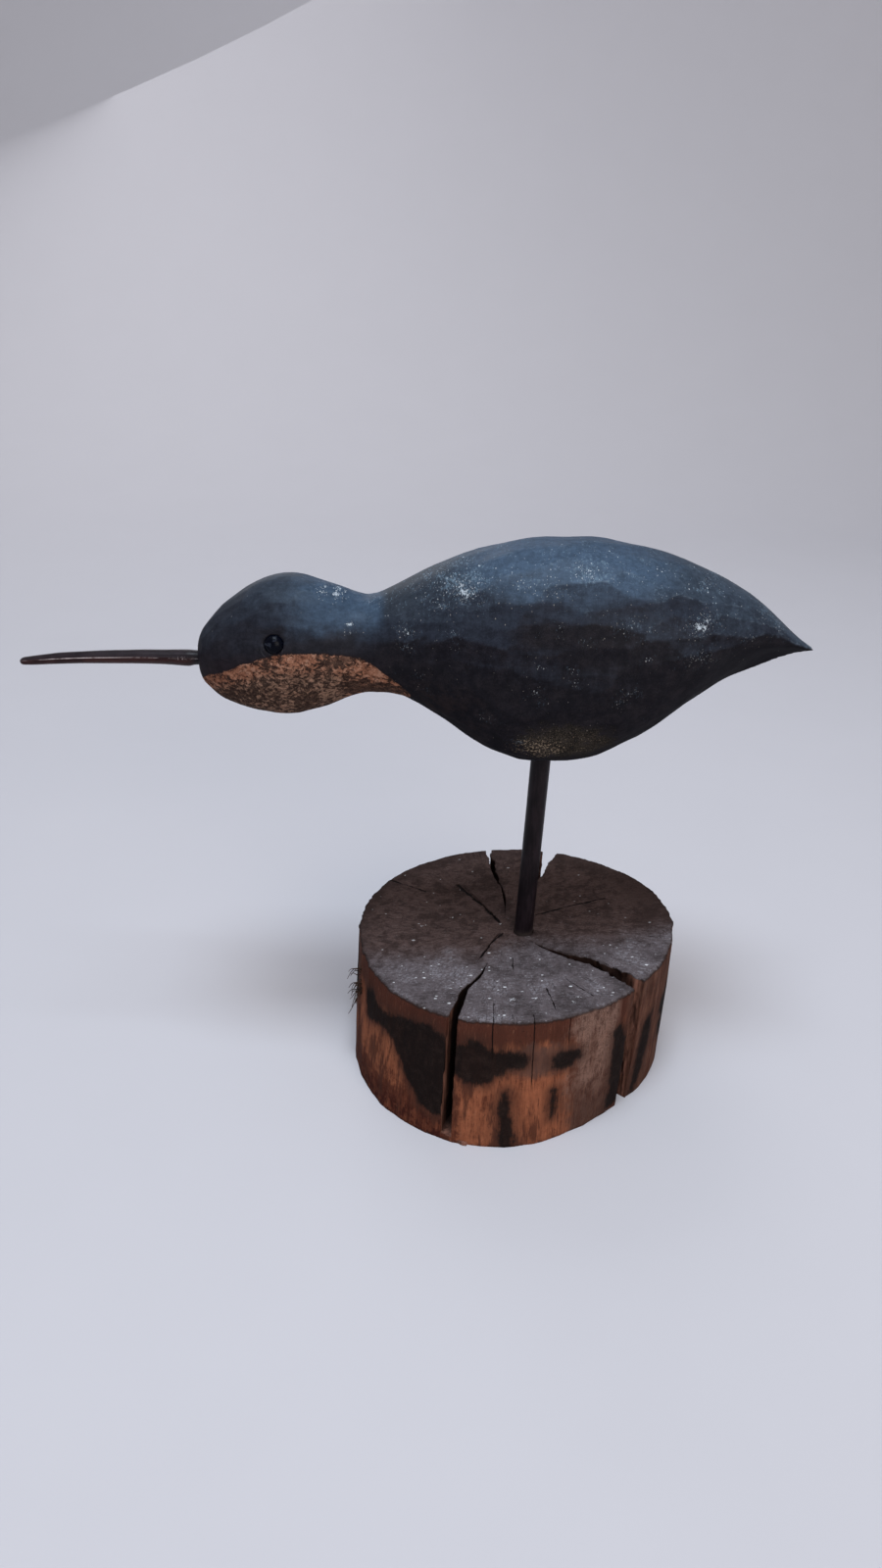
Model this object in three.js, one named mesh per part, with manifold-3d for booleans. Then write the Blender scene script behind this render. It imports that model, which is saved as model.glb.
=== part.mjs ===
// A carved shorebird decoy, held by a round rod over a slice of a log.
// Millimetres, +Z up. The bird looks along -X, and its left side faces -Y.
// The origin is on the ground, under the middle of the log.

import * as THREE from 'three';
import { mergeVertices } from 'three/addons/utils/BufferGeometryUtils.js';
import Module from 'manifold-3d';

// Log slice
const LOG_DIAMETER = 137.1;
const LOG_HEIGHT = 60.1; // above the origin
const LOG_TOP_SLOPE = 3.4; // degrees, the top rises towards +X
const LOG_TOP_SHIFT_X = 4.4; // the trunk leaned, so the top's middle isn't over the underside's
const LOG_TOP_SHIFT_Y = 2.7;
const LOG_BELLY = 0.3; // how far the side swells at half height
const LOG_EDGE = 0.7; // worn edge round the sawn top
const FURROW_DEPTH = 0.45; // long hollows down the side, along the grain
const HEART_X = 0; // where the growth rings and the cracks meet
const HEART_Y = 1.5;

// Drying cracks, opened at the bark by these widths
const FRONT_CRACK = 4.8;
const SIDE_CRACK = 7.2;
const BACK_CRACK = 7.2;
const REAR_CRACK = 2.8;
const INNER_CRACK = 1.3;
const INNER_CRACK_DEPTH = 22; // the inner ones don't go through
const FRONT_CRACK_LEDGE = 1.6; // wood left across the foot of the front crack

// Rod
const ROD_DIAMETER = 8;
const ROD_SHOWING = 85.1;
const ROD_LEAN = 2; // degrees, towards +X
const ROD_FOOT_X = 8.7;
const ROD_FOOT_Y = -2.2;
const ROD_IN_LOG = 28;
const ROD_IN_BIRD = 22;
const ROD_CHAMFER = 0.6;

// Bird
const BODY_LENGTH = 237.5; // front of the head to the tip of the tail
const BODY_WIDTH = 66;
const CUT_LENGTH = 23; // one stroke of the carving knife
const CUT_HOLLOW = 0.45;
const KNIFE_BANDS = 24; // rows of strokes round the body
const BAND_WANDER = 0.26; // how far a row strays sideways, as a share of its width
const WANDER_CUTS = 2.3; // strokes to one such wave
const SLIM_SHARE = 0.3; // where the body is slimmer than this, its strokes are shallower

// Bill
const BILL_SHOWING = 69;
const BILL_ROOT = 5.8;
const BILL_TIP = 3.6;
const BILL_TENON = 12; // how deep it is set into the head
const BILL_DROOP = 2.9; // how far the tip hangs below the root
const BILL_SECTION = 1.7; // 2 is round, 1 is a diamond
const BILL_BLUNT_FROM = 0.93; // share of the bill where its tip starts to round off

// Eyes
const EYE_DIAMETER = 7.2;
const EYE_DEPTH = 4.5;
const EYE_DOME = 2.1; // height of the round front
const EYE_SUNK = 0.9; // the dome starts this far inside the head

const FIT_GAP = 0.3; // between any piece and the hole it sits in

// The carved form, from the front of the head to the tail. at, top and under are shares
// of the body's length, the heights counted from the belly at the rod. half is a share of
// half the body's width. side is how far up the widest line runs, and round is how full
// the lower half is: 1 is a flat cut, below 1 is hollow.
const STATIONS = [
  { at: 0, top: 0.171, under: 0.171, half: 0, side: 0.5, round: 2 },
  { at: 0.007, top: 0.199, under: 0.137, half: 0.18, side: 0.5, round: 2 },
  { at: 0.025, top: 0.229, under: 0.109, half: 0.33, side: 0.5, round: 2 },
  { at: 0.061, top: 0.265, under: 0.089, half: 0.485, side: 0.5, round: 2.1 },
  { at: 0.112, top: 0.298, under: 0.074, half: 0.585, side: 0.5, round: 2.2 },
  { at: 0.167, top: 0.306, under: 0.077, half: 0.6, side: 0.5, round: 2.2 },
  { at: 0.221, top: 0.293, under: 0.091, half: 0.56, side: 0.5, round: 2.2 },
  { at: 0.276, top: 0.274, under: 0.113, half: 0.525, side: 0.5, round: 2.2 },
  { at: 0.331, top: 0.294, under: 0.114, half: 0.61, side: 0.5, round: 2.2 },
  { at: 0.403, top: 0.333, under: 0.072, half: 0.79, side: 0.5, round: 2.2 },
  { at: 0.487, top: 0.361, under: 0.017, half: 0.945, side: 0.5, round: 2.2 },
  { at: 0.571, top: 0.372, under: 0, half: 1, side: 0.51, round: 2.15 },
  { at: 0.655, top: 0.371, under: 0.011, half: 0.995, side: 0.52, round: 2.1 },
  { at: 0.739, top: 0.354, under: 0.056, half: 0.92, side: 0.53, round: 1.95 },
  { at: 0.815, top: 0.326, under: 0.114, half: 0.77, side: 0.55, round: 1.6 },
  { at: 0.891, top: 0.288, under: 0.16, half: 0.53, side: 0.58, round: 1.05 },
  { at: 0.946, top: 0.246, under: 0.181, half: 0.32, side: 0.6, round: 0.85 },
  { at: 0.979, top: 0.217, under: 0.192, half: 0.17, side: 0.6, round: 0.85 },
  { at: 1, top: 0.198, under: 0.198, half: 0, side: 0.5, round: 1 },
];
const UPPER_ROUND = 2.1;
const ROD_AT = 0.573; // where the rod enters, as a share of the length
const BILL_AT = 0.163; // height of the bill, counted like the stations' heights
const EYE_AT = 0.138;
const EYE_UP = 13; // degrees round the head, above its widest line
const EYE_TILT = 10; // degrees, the eyes look a little upwards

const radians = THREE.MathUtils.degToRad;
const lerp = THREE.MathUtils.lerp;
const wasm = await Module();
wasm.setup();

// Solids and cuts

// Closed skin over a row of rings, with a fan to a point at each end. Seen along the row,
// each ring's points run anticlockwise.
function skin(rings, start, end) {
  const around = rings[0].length;
  const points = [...rings.flat(), start, end];
  const corner = (ring, j) => ring * around + (j % around);
  const triangles = [];
  for (let j = 0; j < around; j++) {
    triangles.push(points.length - 2, corner(0, j), corner(0, j + 1));
    for (let ring = 0; ring + 1 < rings.length; ring++) {
      const near = [corner(ring, j), corner(ring, j + 1)];
      const far = [corner(ring + 1, j), corner(ring + 1, j + 1)];
      triangles.push(near[0], far[0], far[1], near[0], far[1], near[1]);
    }
    triangles.push(points.length - 1, corner(rings.length - 1, j + 1), corner(rings.length - 1, j));
  }
  const geometry = new THREE.BufferGeometry().setFromPoints(points);
  geometry.setIndex(triangles);
  return geometry;
}

function solidOf(geometry) {
  const bare = geometry.clone();
  bare.deleteAttribute('normal');
  bare.deleteAttribute('uv');
  const merged = mergeVertices(bare, 1e-4);
  return new wasm.Manifold(new wasm.Mesh({
    numProp: 3,
    vertProperties: new Float32Array(merged.attributes.position.array),
    triVerts: new Uint32Array(merged.index.array),
  }));
}

function cutFrom(geometry, cutters) {
  const solid = cutters.reduce((left, cutter) => left.subtract(solidOf(cutter)), solidOf(geometry));
  const mesh = solid.getMesh();
  const result = new THREE.BufferGeometry();
  result.setAttribute('position', new THREE.BufferAttribute(mesh.vertProperties, 3));
  result.setIndex(new THREE.BufferAttribute(mesh.triVerts, 1));
  return result;
}

// A round bar from one point to another, turned on a lathe
function bar(from, to, diameter, chamfer, sides) {
  const length = from.distanceTo(to);
  const radius = diameter / 2;
  const profile = [[0, 0], [radius - chamfer, 0], [radius, chamfer],
    [radius, length - chamfer], [radius - chamfer, length], [0, length]];
  const geometry = new THREE.LatheGeometry(profile.map(([r, z]) => new THREE.Vector2(r, z)), sides);
  const along = new THREE.Vector3().subVectors(to, from).normalize();
  geometry.applyQuaternion(new THREE.Quaternion().setFromUnitVectors(new THREE.Vector3(0, 1, 0), along));
  return geometry.translate(from.x, from.y, from.z);
}

// Log

const LOG_RADIUS = LOG_DIAMETER / 2;
const LOG_SIDES = 104;
const LOG_LEVELS = [0.86, 0.62, 0.38, 0.16, 0]; // rings of points below the rim

// Waves round the log: how many, their height as a share, and where a crest is, in degrees
const LOBES = [[2, 0.008, -48], [3, 0.018, 41], [5, 0.0045, 51]];
const FOOT_LOBES = [[3, 0.029, 16], [5, 0.012, -73]]; // they fade out towards the top
const FURROWS = [[13, 0.333, 21], [23, 0.333, 67], [37, 0.333, -30]];

function logTopHeight(x) {
  return LOG_HEIGHT + Math.tan(radians(LOG_TOP_SLOPE)) * x;
}

function waves(table, angle) {
  const wave = ([count, height, crest]) => height * Math.cos(count * angle - radians(crest));
  return table.reduce((sum, row) => sum + wave(row), 0);
}

// The log isn't round: it has slow lobes, which change towards the foot, and long
// furrows down its side.
function barkRadius(angle, level) {
  const lobes = waves(LOBES, angle) + (1 - level) * waves(FOOT_LOBES, angle);
  return LOG_RADIUS * (1 + lobes) + FURROW_DEPTH * (waves(FURROWS, angle) - 0.5);
}

function logPoint(angle, level, inset) {
  const radius = barkRadius(angle, level) + LOG_BELLY * Math.sin(Math.PI * level) - inset;
  const x = LOG_TOP_SHIFT_X * level + radius * Math.cos(angle);
  const y = LOG_TOP_SHIFT_Y * level + radius * Math.sin(angle);
  return new THREE.Vector3(x, y, level * logTopHeight(x));
}

const CRACK_FLARE = 0.8; // 1 widens a crack evenly on its way out, less widens it early
const INNER_SWELL = 2.2;

// Half a crack's width. It grows to half the mouth at the bark. A crack that ends before
// the bark swells on its way and closes again.
function crackHalfWidth(share, reach, mouth) {
  const opening = Math.pow(share, CRACK_FLARE) * mouth / 2;
  return reach < 1 ? INNER_SWELL * opening * Math.max(1 - share, 0) : opening;
}

// A slot down through the log. heading is its direction from the heart, in degrees. from
// and reach are shares of the log's radius, and sway bends it sideways, in millimetres.
function crack({ heading, from, reach, mouth, sway, floor }) {
  const bend = new THREE.CatmullRomCurve3(sway.map((s, i) => new THREE.Vector3(i, s, 0)));
  const steps = 2 * sway.length;
  const last = reach < 1 ? steps : steps + 3; // an open crack is cut on, past the bark
  const sides = [[], []];
  for (let i = 0; i <= last; i++) {
    const share = i / steps;
    const out = lerp(from, reach, share) * LOG_RADIUS;
    const middle = bend.getPoint(Math.min(share, 1)).y;
    const half = crackHalfWidth(share, reach, mouth);
    sides[0].push(new THREE.Vector2(out, middle - half));
    if (half > 0) sides[1].unshift(new THREE.Vector2(out, middle + half));
  }
  const outline = new THREE.Shape([...sides[0], ...sides[1]]);
  const depth = 2 * LOG_HEIGHT;
  const slot = new THREE.ExtrudeGeometry(outline, { depth, bevelEnabled: false });
  return slot.rotateZ(radians(heading)).translate(HEART_X, HEART_Y, floor);
}

function logCracks() {
  const through = -LOG_HEIGHT / 2;
  const blind = LOG_HEIGHT - INNER_CRACK_DEPTH;
  return [
    { heading: -109, from: 0.4, reach: 1, mouth: FRONT_CRACK, sway: [1.6, 1.4, -1.6, -0.8, -0.6],
      floor: FRONT_CRACK_LEDGE },
    { heading: -115, from: 0.06, reach: 0.44, mouth: INNER_CRACK, sway: [0.5, 0, 0.4, 0],
      floor: blind },
    { heading: -40, from: 0.2, reach: 1, mouth: SIDE_CRACK, sway: [-1.3, -2, -0.8, 1.6, 0.4, 0],
      floor: through },
    { heading: 68, from: 0.56, reach: 1, mouth: BACK_CRACK, sway: [-1.4, -1.2, 0.4, 0.6],
      floor: through },
    { heading: 92, from: 0.14, reach: 1, mouth: REAR_CRACK, sway: [-1.5, -2.4, -1.6, 0.6, 1.6, 2.2],
      floor: through },
    { heading: 115, from: 0.03, reach: 0.63, mouth: INNER_CRACK, sway: [0.4, -0.3, 0.2, 1.2],
      floor: blind },
  ].map(crack);
}

function logBase() {
  const levels = [[1, LOG_EDGE], [1 - LOG_EDGE / LOG_HEIGHT, 0], ...LOG_LEVELS.map((level) => [level, 0])];
  const rings = levels.map(([level, inset]) =>
    Array.from({ length: LOG_SIDES }, (_, j) => logPoint(j / LOG_SIDES * 2 * Math.PI, level, inset)));
  const topMiddle = new THREE.Vector3(LOG_TOP_SHIFT_X, LOG_TOP_SHIFT_Y, logTopHeight(LOG_TOP_SHIFT_X));
  const block = skin(rings, topMiddle, new THREE.Vector3());
  const bore = bar(rodPoint(-ROD_IN_LOG - FIT_GAP), rodPoint(ROD_DIAMETER), ROD_BORE, 0, ROD_SIDES);
  return cutFrom(block, [...logCracks(), bore]);
}

// Rod

const ROD_SIDES = 32;
const ROD_BORE = ROD_DIAMETER + 2 * FIT_GAP;
const ROD_AXIS = new THREE.Vector3(Math.sin(radians(ROD_LEAN)), 0, Math.cos(radians(ROD_LEAN)));
const ROD_FOOT = new THREE.Vector3(ROD_FOOT_X, ROD_FOOT_Y, logTopHeight(ROD_FOOT_X));

// A point on the rod's middle line, counted upwards from the log's top
function rodPoint(up) {
  return ROD_FOOT.clone().addScaledVector(ROD_AXIS, up);
}

function legRod() {
  const head = rodPoint(ROD_SHOWING + ROD_IN_BIRD);
  return bar(rodPoint(-ROD_IN_LOG), head, ROD_DIAMETER, ROD_CHAMFER, ROD_SIDES);
}

// Bird. Its own origin is on the belly, where the rod enters.

const HEAD_FRONT = -ROD_AT * BODY_LENGTH;

// Reads one value between the stations, as a smooth curve through them
function carved(name, at) {
  const last = STATIONS.length - 1;
  const k = THREE.MathUtils.clamp(STATIONS.findIndex((row) => row.at > at) - 1, 0, last - 1);
  const here = at >= 1 ? last - 1 : k;
  const step = (i) => STATIONS[i + 1].at - STATIONS[i].at;
  const rise = (i) => (STATIONS[i + 1][name] - STATIONS[i][name]) / step(i);
  const slope = (i) => {
    if (i === 0) return rise(0);
    if (i === last) return rise(last - 1);
    return (step(i) * rise(i - 1) + step(i - 1) * rise(i)) / (step(i) + step(i - 1));
  };
  const t = (at - STATIONS[here].at) / step(here);
  const [from, to] = [STATIONS[here][name], STATIONS[here + 1][name]];
  return (1 + 2 * t) * (1 - t) ** 2 * from + t * (1 - t) ** 2 * step(here) * slope(here)
    + t * t * (3 - 2 * t) * to - t * t * (1 - t) * step(here) * slope(here + 1);
}

const power = (value, round) => Math.sign(value) * Math.pow(Math.abs(value), 2 / round);

// A point on the carved surface. angle runs from the left side over the back.
function bodyPoint(at, angle, inwards) {
  const [top, under] = [carved('top', at), carved('under', at)];
  const [half, side] = [carved('half', at), carved('side', at)];
  const upper = Math.sin(angle) >= 0;
  const round = upper ? UPPER_ROUND : carved('round', at);
  const up = power(Math.sin(angle), round);
  const height = side + (upper ? 1 - side : side) * up;
  const out = power(Math.cos(angle), round);
  const keep = 1 - inwards / (BODY_WIDTH * Math.max(half, SLIM_SHARE) / 2);
  const middle = (top + under) / 2;
  return new THREE.Vector3(
    HEAD_FRONT + at * BODY_LENGTH,
    -out * half * keep * BODY_WIDTH / 2,
    (middle + (lerp(under, top, height) - middle) * keep) * BODY_LENGTH,
  );
}

const GOLDEN_ANGLE = Math.PI * (3 - Math.sqrt(5)); // no two rows end up in step

// The knife leaves rows of long strokes. Their borders wander, and each stroke is a
// shallow hollow between two low ridges.
function bodyRing(at) {
  const stroke = at * BODY_LENGTH / CUT_LENGTH;
  return Array.from({ length: KNIFE_BANDS }, (_, j) => {
    const phase = j * GOLDEN_ANGLE;
    const wander = BAND_WANDER * Math.sin(Math.PI * 2 * stroke / WANDER_CUTS + phase * 3);
    const hollow = CUT_HOLLOW * Math.sin(Math.PI * stroke + phase) ** 2;
    return bodyPoint(at, (j + wander) / KNIFE_BANDS * 2 * Math.PI, hollow);
  });
}

const BODY_RINGS = 68;
const BORE_SIDES = 24;

function birdBody() {
  const rings = [];
  for (let k = 1; k < BODY_RINGS; k++) rings.push(bodyRing((1 - Math.cos(Math.PI * k / BODY_RINGS)) / 2));
  const block = skin(rings, bodyPoint(0, 0, 0), bodyPoint(1, 0, 0));
  const rodBore = bar(ROD_AXIS.clone().multiplyScalar(-ROD_DIAMETER),
    ROD_AXIS.clone().multiplyScalar(ROD_IN_BIRD + FIT_GAP), ROD_BORE, 0, ROD_SIDES);
  const billBore = bar(billPoint(-2 * BILL_ROOT),
    billPoint(BILL_TENON + FIT_GAP), BILL_ROOT + 2 * FIT_GAP, 0, BORE_SIDES);
  return cutFrom(block, [rodBore, billBore, eyeSocket(1), eyeSocket(-1)]);
}

// Bill

const BILL_SIDES = 16;
const BILL_RINGS = [0.995, 0.98, 0.955, 0.93, 0.84, 0.74, 0.62, 0.5, 0.38, 0.26, 0.17, 0.1, 0.05, 0.02];

// A point on the bill's middle line at the head, counted into the head
function billPoint(inwards) {
  return new THREE.Vector3(HEAD_FRONT + inwards, 0, BILL_AT * BODY_LENGTH);
}

// The section is a rounded diamond outside the head, and round where it is set in
function billRing(out) {
  const share = Math.max(out, 0) / BILL_SHOWING;
  const round = lerp(2, BILL_SECTION, THREE.MathUtils.smoothstep(share, 0.02, 0.12));
  const past = Math.max(share - BILL_BLUNT_FROM, 0) / (1 - BILL_BLUNT_FROM);
  const size = lerp(BILL_ROOT, BILL_TIP, share ** 1.3) * Math.sqrt(1 - past ** 2) / 2;
  const droop = BILL_DROOP * share ** 2.5;
  const middle = billPoint(-out);
  return Array.from({ length: BILL_SIDES }, (_, j) => {
    const angle = j / BILL_SIDES * 2 * Math.PI;
    return new THREE.Vector3(middle.x, -power(Math.cos(angle), round) * size,
      middle.z - droop + power(Math.sin(angle), round) * size);
  });
}

function bill() {
  const rings = [...BILL_RINGS.map((share) => billRing(share * BILL_SHOWING)), billRing(-BILL_TENON)];
  const tip = billPoint(-BILL_SHOWING);
  tip.z -= BILL_DROOP;
  return skin(rings, tip, billPoint(BILL_TENON));
}

// Eyes

const EYE_SIDES = 28;
const DOME_RINGS = 7;
const EYE_PLACE = bodyPoint(EYE_AT, radians(EYE_UP), 0);

// The way an eye looks: side is 1 for the bird's left
function eyeAxis(side) {
  return new THREE.Vector3(0, -side * Math.cos(radians(EYE_TILT)), Math.sin(radians(EYE_TILT)));
}

function eyePoint(side, out) {
  const place = new THREE.Vector3(EYE_PLACE.x, EYE_PLACE.y * side, EYE_PLACE.z);
  return place.addScaledVector(eyeAxis(side), out);
}

function eyeSocket(side) {
  const back = eyePoint(side, -EYE_SUNK - EYE_DEPTH - FIT_GAP);
  return bar(back, eyePoint(side, EYE_DIAMETER), EYE_DIAMETER + 2 * FIT_GAP, 0, EYE_SIDES);
}

function eye(side) {
  const radius = EYE_DIAMETER / 2;
  const profile = [new THREE.Vector2(0, -EYE_DEPTH), new THREE.Vector2(radius, -EYE_DEPTH)];
  for (let i = 0; i <= DOME_RINGS; i++) {
    const turn = i / DOME_RINGS * Math.PI / 2;
    const across = i === DOME_RINGS ? 0 : radius * Math.cos(turn);
    profile.push(new THREE.Vector2(across, EYE_DOME * Math.sin(turn)));
  }
  const geometry = new THREE.LatheGeometry(profile, EYE_SIDES);
  const up = new THREE.Vector3(0, 1, 0);
  geometry.applyQuaternion(new THREE.Quaternion().setFromUnitVectors(up, eyeAxis(side)));
  const seat = eyePoint(side, -EYE_SUNK);
  return geometry.translate(seat.x, seat.y, seat.z);
}

// The object

function piece(name, geometry, color, roughness) {
  const mesh = new THREE.Mesh(geometry, new THREE.MeshStandardMaterial({ color, roughness, metalness: 0 }));
  mesh.name = name;
  return mesh;
}

const bird = new THREE.Group();
bird.position.copy(rodPoint(ROD_SHOWING));
bird.add(
  piece('bird_body', birdBody(), 0x2a2f38, 0.5),
  piece('bill', bill(), 0x2b1c1a, 0.3),
  piece('eye_left', eye(1), 0x050505, 0.08),
  piece('eye_right', eye(-1), 0x050505, 0.08),
);

const decoy = new THREE.Group();
decoy.add(
  piece('log_base', logBase(), 0x6b3d27, 0.85),
  piece('leg_rod', legRod(), 0x1d1718, 0.6),
  bird,
);

export default decoy;
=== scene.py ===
# A carved shorebird with worn paint, on a rod over a slice of a log.
# Blender's own lengths are metres. The dictionaries give sizes in millimetres.

import functools
import math
import random

import bmesh
import bpy
import numpy as np
from mathutils import Matrix, Vector, noise


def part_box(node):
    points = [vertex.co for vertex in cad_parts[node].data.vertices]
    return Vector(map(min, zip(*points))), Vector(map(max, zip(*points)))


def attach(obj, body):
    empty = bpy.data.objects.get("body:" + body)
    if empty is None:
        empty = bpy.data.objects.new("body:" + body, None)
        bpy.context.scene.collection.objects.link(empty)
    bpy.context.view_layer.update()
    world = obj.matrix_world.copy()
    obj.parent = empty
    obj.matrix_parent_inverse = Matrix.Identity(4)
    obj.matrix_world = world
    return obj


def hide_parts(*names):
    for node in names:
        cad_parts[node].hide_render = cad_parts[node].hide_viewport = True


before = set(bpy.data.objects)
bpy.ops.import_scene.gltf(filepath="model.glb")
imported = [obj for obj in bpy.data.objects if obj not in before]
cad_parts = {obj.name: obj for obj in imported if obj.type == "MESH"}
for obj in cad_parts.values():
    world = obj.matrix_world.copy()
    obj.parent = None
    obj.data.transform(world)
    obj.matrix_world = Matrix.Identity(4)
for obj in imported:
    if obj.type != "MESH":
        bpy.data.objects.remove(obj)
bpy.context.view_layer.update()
mm = 0.001


# Picking, copying and reading pieces

def pick(*objects):
    bpy.ops.object.select_all(action="DESELECT")
    for each in objects:
        each.select_set(True)
    bpy.context.view_layer.objects.active = objects[-1]


def mode(name):
    bpy.ops.object.mode_set(mode=name)


def corners(node):  # of its box, in millimetres
    return [np.array(corner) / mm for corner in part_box(node)]


def newest(name):  # the piece that was just added
    piece = bpy.context.object
    piece.name = piece.data.name = name
    return piece


def added(name, data):
    piece = bpy.data.objects.new(name, data)
    bpy.context.scene.collection.objects.link(piece)
    return piece


def aimed(place, way, axis, side):
    return Matrix.Translation(place) @ way.to_track_quat(axis, side).to_matrix().to_4x4()


def solidCopy(nodeName, newName):
    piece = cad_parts[nodeName].copy()
    piece.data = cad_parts[nodeName].data.copy()
    piece.name = piece.data.name = newName
    for key in list(piece.keys()):
        del piece[key]
    piece.parent = None
    bpy.context.scene.collection.objects.link(piece)
    piece.data.materials.clear()
    pick(piece)
    mode("EDIT")
    bpy.ops.mesh.select_all(action="SELECT")
    bpy.ops.mesh.remove_doubles(threshold=0.002 * mm)  # the node's triangles are loose
    mode("OBJECT")
    return piece


def applyModifier(piece, kind, **settings):
    pick(piece)
    modifier = piece.modifiers.new(kind.title(), kind)
    for name, value in settings.items():
        setattr(modifier, name, value)
    bpy.ops.object.modifier_apply(modifier=modifier.name)


def settle(piece):  # puts the piece's place into its mesh
    pick(piece)
    bpy.ops.object.transform_apply(location=True, rotation=True, scale=True)


def readVectors(piece, what="co"):
    values = np.zeros(len(piece.data.vertices) * 3)
    piece.data.vertices.foreach_get(what, values)
    return values.reshape(-1, 3) / (mm if what == "co" else 1)


def surface(piece):
    return readVectors(piece), readVectors(piece, "normal")


def unit(values):
    return np.clip(values, 0, 1)


def writePoints(piece, points):
    piece.data.vertices.foreach_set("co", (points * mm).ravel())
    piece.data.update()


def store(piece, name, values):
    layer = piece.data.attributes.new(name, "FLOAT", "POINT")
    layer.data.foreach_set("value", np.asarray(values, np.float32))


def edgesOf(piece):
    ends = np.zeros(len(piece.data.edges) * 2, np.int32)
    piece.data.edges.foreach_get("vertices", ends)
    return ends.reshape(-1, 2)


def meanOfNeighbours(values, edges):
    total = np.zeros_like(values)
    count = np.zeros(len(values))
    for a, b in (edges.T, edges.T[::-1]):
        for k in range(values.shape[1]):
            total[:, k] += np.bincount(a, values[b, k], len(values))
        count += np.bincount(a, minlength=len(values))
    return total / np.maximum(count, 1)[:, None]


def ridges(piece, blur=2):  # above 0 where an edge stands out, below 0 in a hollow
    (points, normals), edges = surface(piece), edgesOf(piece)
    height = ((points - meanOfNeighbours(points, edges)) * normals).sum(1)[:, None]
    for _ in range(blur):
        height = (height + meanOfNeighbours(height, edges)) / 2
    return height[:, 0]


def smoothShade(piece, angle=35):
    pick(piece)
    bpy.ops.object.shade_smooth_by_angle(angle=math.radians(angle))


def lumps(points, size, seed, stretch=(1, 1, 1)):  # soft noise from -1 to 1 at each point
    shift = Vector((seed * 7.3, seed * 3.1, seed * 5.7))
    scaled = points / (np.array(stretch) * size)
    return np.array([noise.noise(Vector(p) + shift) for p in scaled])


# Materials

class Wire:  # a node's output that can stand in a sum
    def __init__(self, paint, socket):
        self.paint, self.socket = paint, socket

    def sum(self, operation, *terms):
        return self.paint.node("Math", {"operation": operation}, dict(enumerate(terms)))

    def between(self, low, high, bottom=0, top=1):  # 0 below low, 1 above high, soft in the middle
        return self.paint.node("MapRange", {"interpolation_type": "SMOOTHSTEP"}, {
            "Value": self, "From Min": low, "From Max": high, "To Min": bottom, "To Max": top})

    def under(self, low, high):  # the reverse: 1 below low, 0 above high
        return self.between(low, high, 1, 0)

    def most(self, other):
        return self.sum("MAXIMUM", self, other)

    def __abs__(self):
        return self.sum("ABSOLUTE", self)


def teachSign(sign, operation):  # lets wires stand in sums with numbers and with each other
    setattr(Wire, f"__{sign}__", lambda wire, other: wire.sum(operation, wire, other))
    setattr(Wire, f"__r{sign}__", lambda wire, other: wire.sum(operation, other, wire))


signs = {"add": "ADD", "sub": "SUBTRACT", "mul": "MULTIPLY", "truediv": "DIVIDE", "pow": "POWER"}
for sign, operation in signs.items():
    teachSign(sign, operation)


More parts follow.
